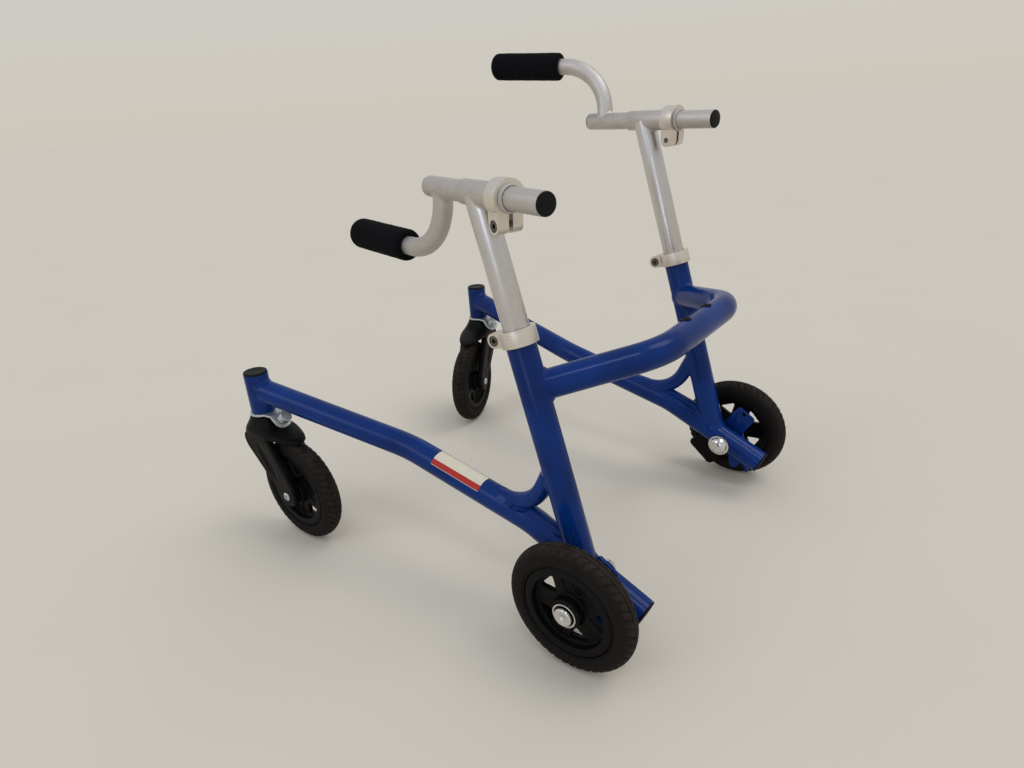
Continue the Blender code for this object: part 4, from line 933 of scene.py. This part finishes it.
def post_and_clamp(label, side, f):
    """The raked post with the sleeve welded across its top, and the clamp on the sleeve."""
    body = f"{label}_post"
    foot = f["over"] - up_dir() * POST_LENGTH
    post = pipe(foot, f["over"], POST_R, POST_BORE)
    bore = rod(f["front"], f["back"], SLEEVE_BORE, 72)
    post = carved(post, bore)
    ends = [f["front"] + f["w"] * reach for reach in (SLEEVE_FROM, CLAMP_FROM + CLAMP_W)]
    sleeve = pipe(*ends, SLEEVE_R, SLEEVE_BORE)
    piece(post, f"{label}_height_tube", body, FINISH["post"], f"{label}_height_post")
    piece(sleeve, f"{label}_sleeve", body, f["finish"])
    seam = saddle(f["over"], f["w"], SLEEVE_R, f["over"] - up_dir() * 0.06, up_dir(), POST_R - 0.0008, 72)
    bead = weld(seam, SMALL_BEAD, 0.05)
    piece(bore_clear(bead, f["over"], f["w"], SLEEVE_COPE_R), f"{label}_sleeve_weld", body, f["finish"])
    middle = f["front"] + f["w"] * (CLAMP_FROM + CLAMP_W / 2)
    place = place_of(-f["up"], f["w"], middle)
    head = 1 if (place.to_3x3() @ Vector((0, 1, 0))).x * side > 0 else -1
    ring = split_ring(CLAMP_R, SLEEVE_R + 0.0003, CLAMP_W, CLAMP_REACH, CLAMP_EAR, 0.0046, head)
    piece(put(ring, place), f"{label}_split_clamp", body, f["machined"], f"{label}_depth_clamp")
    screw = put(socket_screw(head, CLAMP_EAR), place @ Matrix.Translation((CLAMP_REACH, 0, 0)))
    piece(screw, f"{label}_clamp_cap_screw", body, FINISH["steel"], f"{label}_clamp_screw")
    low = CLAMP_FROM + CLAMP_W + 0.0003
    lip = turned([(0.0138, low), (0.0138, low + 0.0009), (0.0130, low + 0.0012), (0.0130, low + 0.0018),
                  (0.0134, low + 0.0021), (0.0132, low + 0.0028), (0.0122, low + 0.0036),
                  (SLEEVE_BORE, low + 0.0036), (SLEEVE_BORE, low)])
    piece(put(soften(lip, 0.0002, 2), along(f["front"], f["w"])), f"{label}_liner_lip", f"{label}_liner",
          FINISH["liner"], f"{label}_handle_liner")


def handle(label, f):
    """The sliding tube, the bent neck welded to it, its end plugs and the foam grip."""
    body = f"{label}_handle"
    slide = pipe(f["front"], f["back"], SLIDE_R, SLIDE_BORE)
    tip = f["knee"] + f["fw"] * (GRIP_TO - 0.006)
    neck = swept(rounded_path([f["root"], f["knee"], tip], (NECK_BEND,), 36), NECK_R, 56)
    piece(gathered(slide, neck), f"{label}_bent_handle", body, f["finish"], f"{label}_handle_bar")
    seam = saddle(f["root"], f["w"], SLIDE_R, f["root"] + f["n"] * 0.04, -f["n"], NECK_R - 0.0006, 64)
    bead = weld(seam, FINE_BEAD, 0.05)
    piece(bead, f"{label}_neck_weld", body, f["finish"])
    plug = [(0, 0.0018), (0.0012, 0.0018), (0.0014, 0.0021), (0.0090, 0.0020), (0.0102, 0.0017),
            (0.0107, 0.0010), (0.0107, 0.0003), (0.0088, 0.0003), (0.0088, -0.007), (0, -0.007)]
    for end, away, name in ((f["front"], -f["w"], "front"), (f["back"], f["w"], "rear")):
        piece(put(turned(plug), along(end, away)), f"{label}_{name}_end_plug", body, FINISH["cap"],
              f"{label}_handle_{name}_plug")
    foam_grip(label, f, body)


def foam_grip(label, f, body):
    """A foam sleeve with a rounded closed nose, its skin very slightly uneven."""
    round_off, step = 0.0110, 0.0028
    nose = [(0, GRIP_TO)] + [(GRIP_R * sin(radians(a)) ** 0.8, GRIP_TO - round_off * (1 - cos(radians(a))))
                             for a in range(12, 91, 6)]
    barrel = [(GRIP_R, GRIP_TO - round_off - step * k) for k in range(1, 34)]
    tail = [(GRIP_R, GRIP_FROM + 0.0040), (GRIP_R - 0.0006, GRIP_FROM + 0.0018),
            (GRIP_R - 0.0020, GRIP_FROM + 0.0004), (GRIP_R - 0.0034, GRIP_FROM),
            (NECK_R + 0.0009, GRIP_FROM), (NECK_R + 0.0003, GRIP_FROM + 0.0008),
            (NECK_R + 0.0003, GRIP_TO - 0.0057), (0, GRIP_TO - 0.0057)]
    bm = turned(nose + barrel + tail, 96)
    for v in bm.verts:
        if v.co.xy.length > NECK_R + 0.0020:
            wave = noise.noise(v.co * 90) * 0.00022 + noise.noise(v.co * 600) * 0.00008
            v.co += Vector((v.co.x, v.co.y, 0)).normalized() * (wave - 0.0002)
    grip = piece(put(bm, along(f["knee"], f["fw"])), f"{label}_foam_sleeve", body, FINISH["foam"],
                 f"{label}_foam_grip", smooth=60)


# Stage, light and camera

def stage():
    """A plain pale floor that runs out of sight."""
    made, tree, shader, where = finish_of("pale_floor", "none")
    cloud = add(tree, "TexNoise", "Fac", {"Vector": where, "Scale": 3.0, "Detail": 3.0})
    tone = add(tree, "Mix", 2, {0: cloud, 6: "#D0C9BC", 7: "#CCC5B8"}, data_type="RGBA")
    feed(tree, shader, {"Base Color": tone, "Roughness": 1.0, "Specular IOR Level": 0.0})
    bm = bmesh.new()
    bmesh.ops.create_circle(bm, cap_ends=True, segments=64, radius=30)
    mesh = bpy.data.meshes.new("floor")
    bm.to_mesh(mesh)
    bm.free()
    mesh.materials.append(made)
    floor = bpy.data.objects.new("floor", mesh)
    bpy.context.scene.collection.objects.link(floor)


def world():
    """Pale surroundings, the floor's own colour at the horizon and cooler above."""
    sky = bpy.data.worlds.new("pale_room")
    bpy.context.scene.world = sky
    sky.use_nodes = True
    tree = sky.node_tree
    direction = add(tree, "TexCoord", "Generated", {})
    height = add(tree, "SeparateXYZ", "Z", {"Vector": direction})
    rise = add(tree, "MapRange", "Result", {"Value": height, "From Min": 0.0, "From Max": 0.35})
    colour = add(tree, "Mix", 2, {0: rise, 6: "#CEC8BC", 7: "#CFD2D6"}, data_type="RGBA")
    camera_ray = add(tree, "LightPath", "Is Camera Ray", {})
    glossy_ray = add(tree, "LightPath", "Is Glossy Ray", {})
    through_ray = add(tree, "LightPath", "Is Transmission Ray", {})
    either = add(tree, "Math", 0, {0: camera_ray, 1: glossy_ray}, operation="MAXIMUM")
    shown_ray = add(tree, "Math", 0, {0: either, 1: through_ray}, operation="MAXIMUM")
    strength = add(tree, "MapRange", "Result", {"Value": shown_ray, "To Min": 1.12, "To Max": 1.0})
    feed(tree, tree.nodes["Background"], {"Color": colour, "Strength": strength})


def sun(name, source, strength, spread, colour):
    """A broad even light from one direction. Spread is how wide it looks, in degrees."""
    light = bpy.data.lights.new(name, "SUN")
    light.energy, light.angle, light.color = strength, radians(spread), linear(colour)[:3]
    obj = bpy.data.objects.new(name, light)
    obj.rotation_euler = Vector(source).to_track_quat("Z", "Y").to_euler()
    bpy.context.scene.collection.objects.link(obj)


def lamps():
    """A soft ceiling and cooler windows. The low one draws the pale stripe down the posts."""
    sun("ceiling", (-0.35, 0.45, 1.00), 0.66, 30, "#FFFBF4")
    sun("skylight", (0.35, 0.35, 0.85), 0.30, 13, "#D2E0FF")
    sun("window", (0.75, -0.35, 0.55), 0.26, 24, "#F4F8FF")
    sun("low_window", (1.00, 0.20, 0.02), 0.26, 24, "#D2E0FF")


def camera():
    """The photograph's own viewpoint, solved from the four wheels."""
    yaw, pitch, roll, focal = 3.8094, -0.4019, -0.0681, 672.34
    d = Vector((cos(pitch) * cos(yaw), cos(pitch) * sin(yaw), sin(pitch)))
    r = d.cross(Vector((0, 0, 1))).normalized()
    u = r.cross(d)
    across, up = r * cos(roll) + u * sin(roll), u * cos(roll) - r * sin(roll)
    data = bpy.data.cameras.new("portrait")
    data.sensor_width, data.lens = 36, focal / 1024 * 36
    data.clip_start, data.clip_end = 0.05, 60
    obj = bpy.data.objects.new("portrait", data)
    turn = Matrix((across, up, -d)).transposed().to_4x4()
    obj.matrix_world = Matrix.Translation((0.6985, 0.5344, 0.5646)) @ turn
    bpy.context.scene.collection.objects.link(obj)
    bpy.context.scene.camera = obj


bpy.context.scene.view_settings.view_transform = "Standard"
FINISH = make_finishes()
TYRE = tyre()
REAR_RIM = wheel_centre(REAR_HUB_HALF, BEARING_R)
CASTER_RIM = wheel_centre(CASTER_HUB_HALF, CASTER_BORE)
FORK = fork_body()
crossbar()
label_sticker()
for label, side in SIDES:
    side_frame(label, side)
    end_caps(label, side)
    rear_wheel(label, side)
    rear_fixings(label, side)
    caster(label, side)
    swivel_lock(label, side)
    height_collar(label, side)
    spots = handle_frame(side)
    spots["finish"] = anodised(f"blasted_handle_{label}", spots["w"], ("#CBC6C1", "#BCB6B0", "#B0AAA2"),
                               (0.48, 0.58), (1, 1, 0.05))
    spots["machined"] = machined(f"machined_clamp_{label}", spots["w"])
    post_and_clamp(label, side, spots)
    handle(label, spots)
stage()
world()
lamps()
camera()
for bm in (TYRE, REAR_RIM, CASTER_RIM, FORK):
    bm.free()
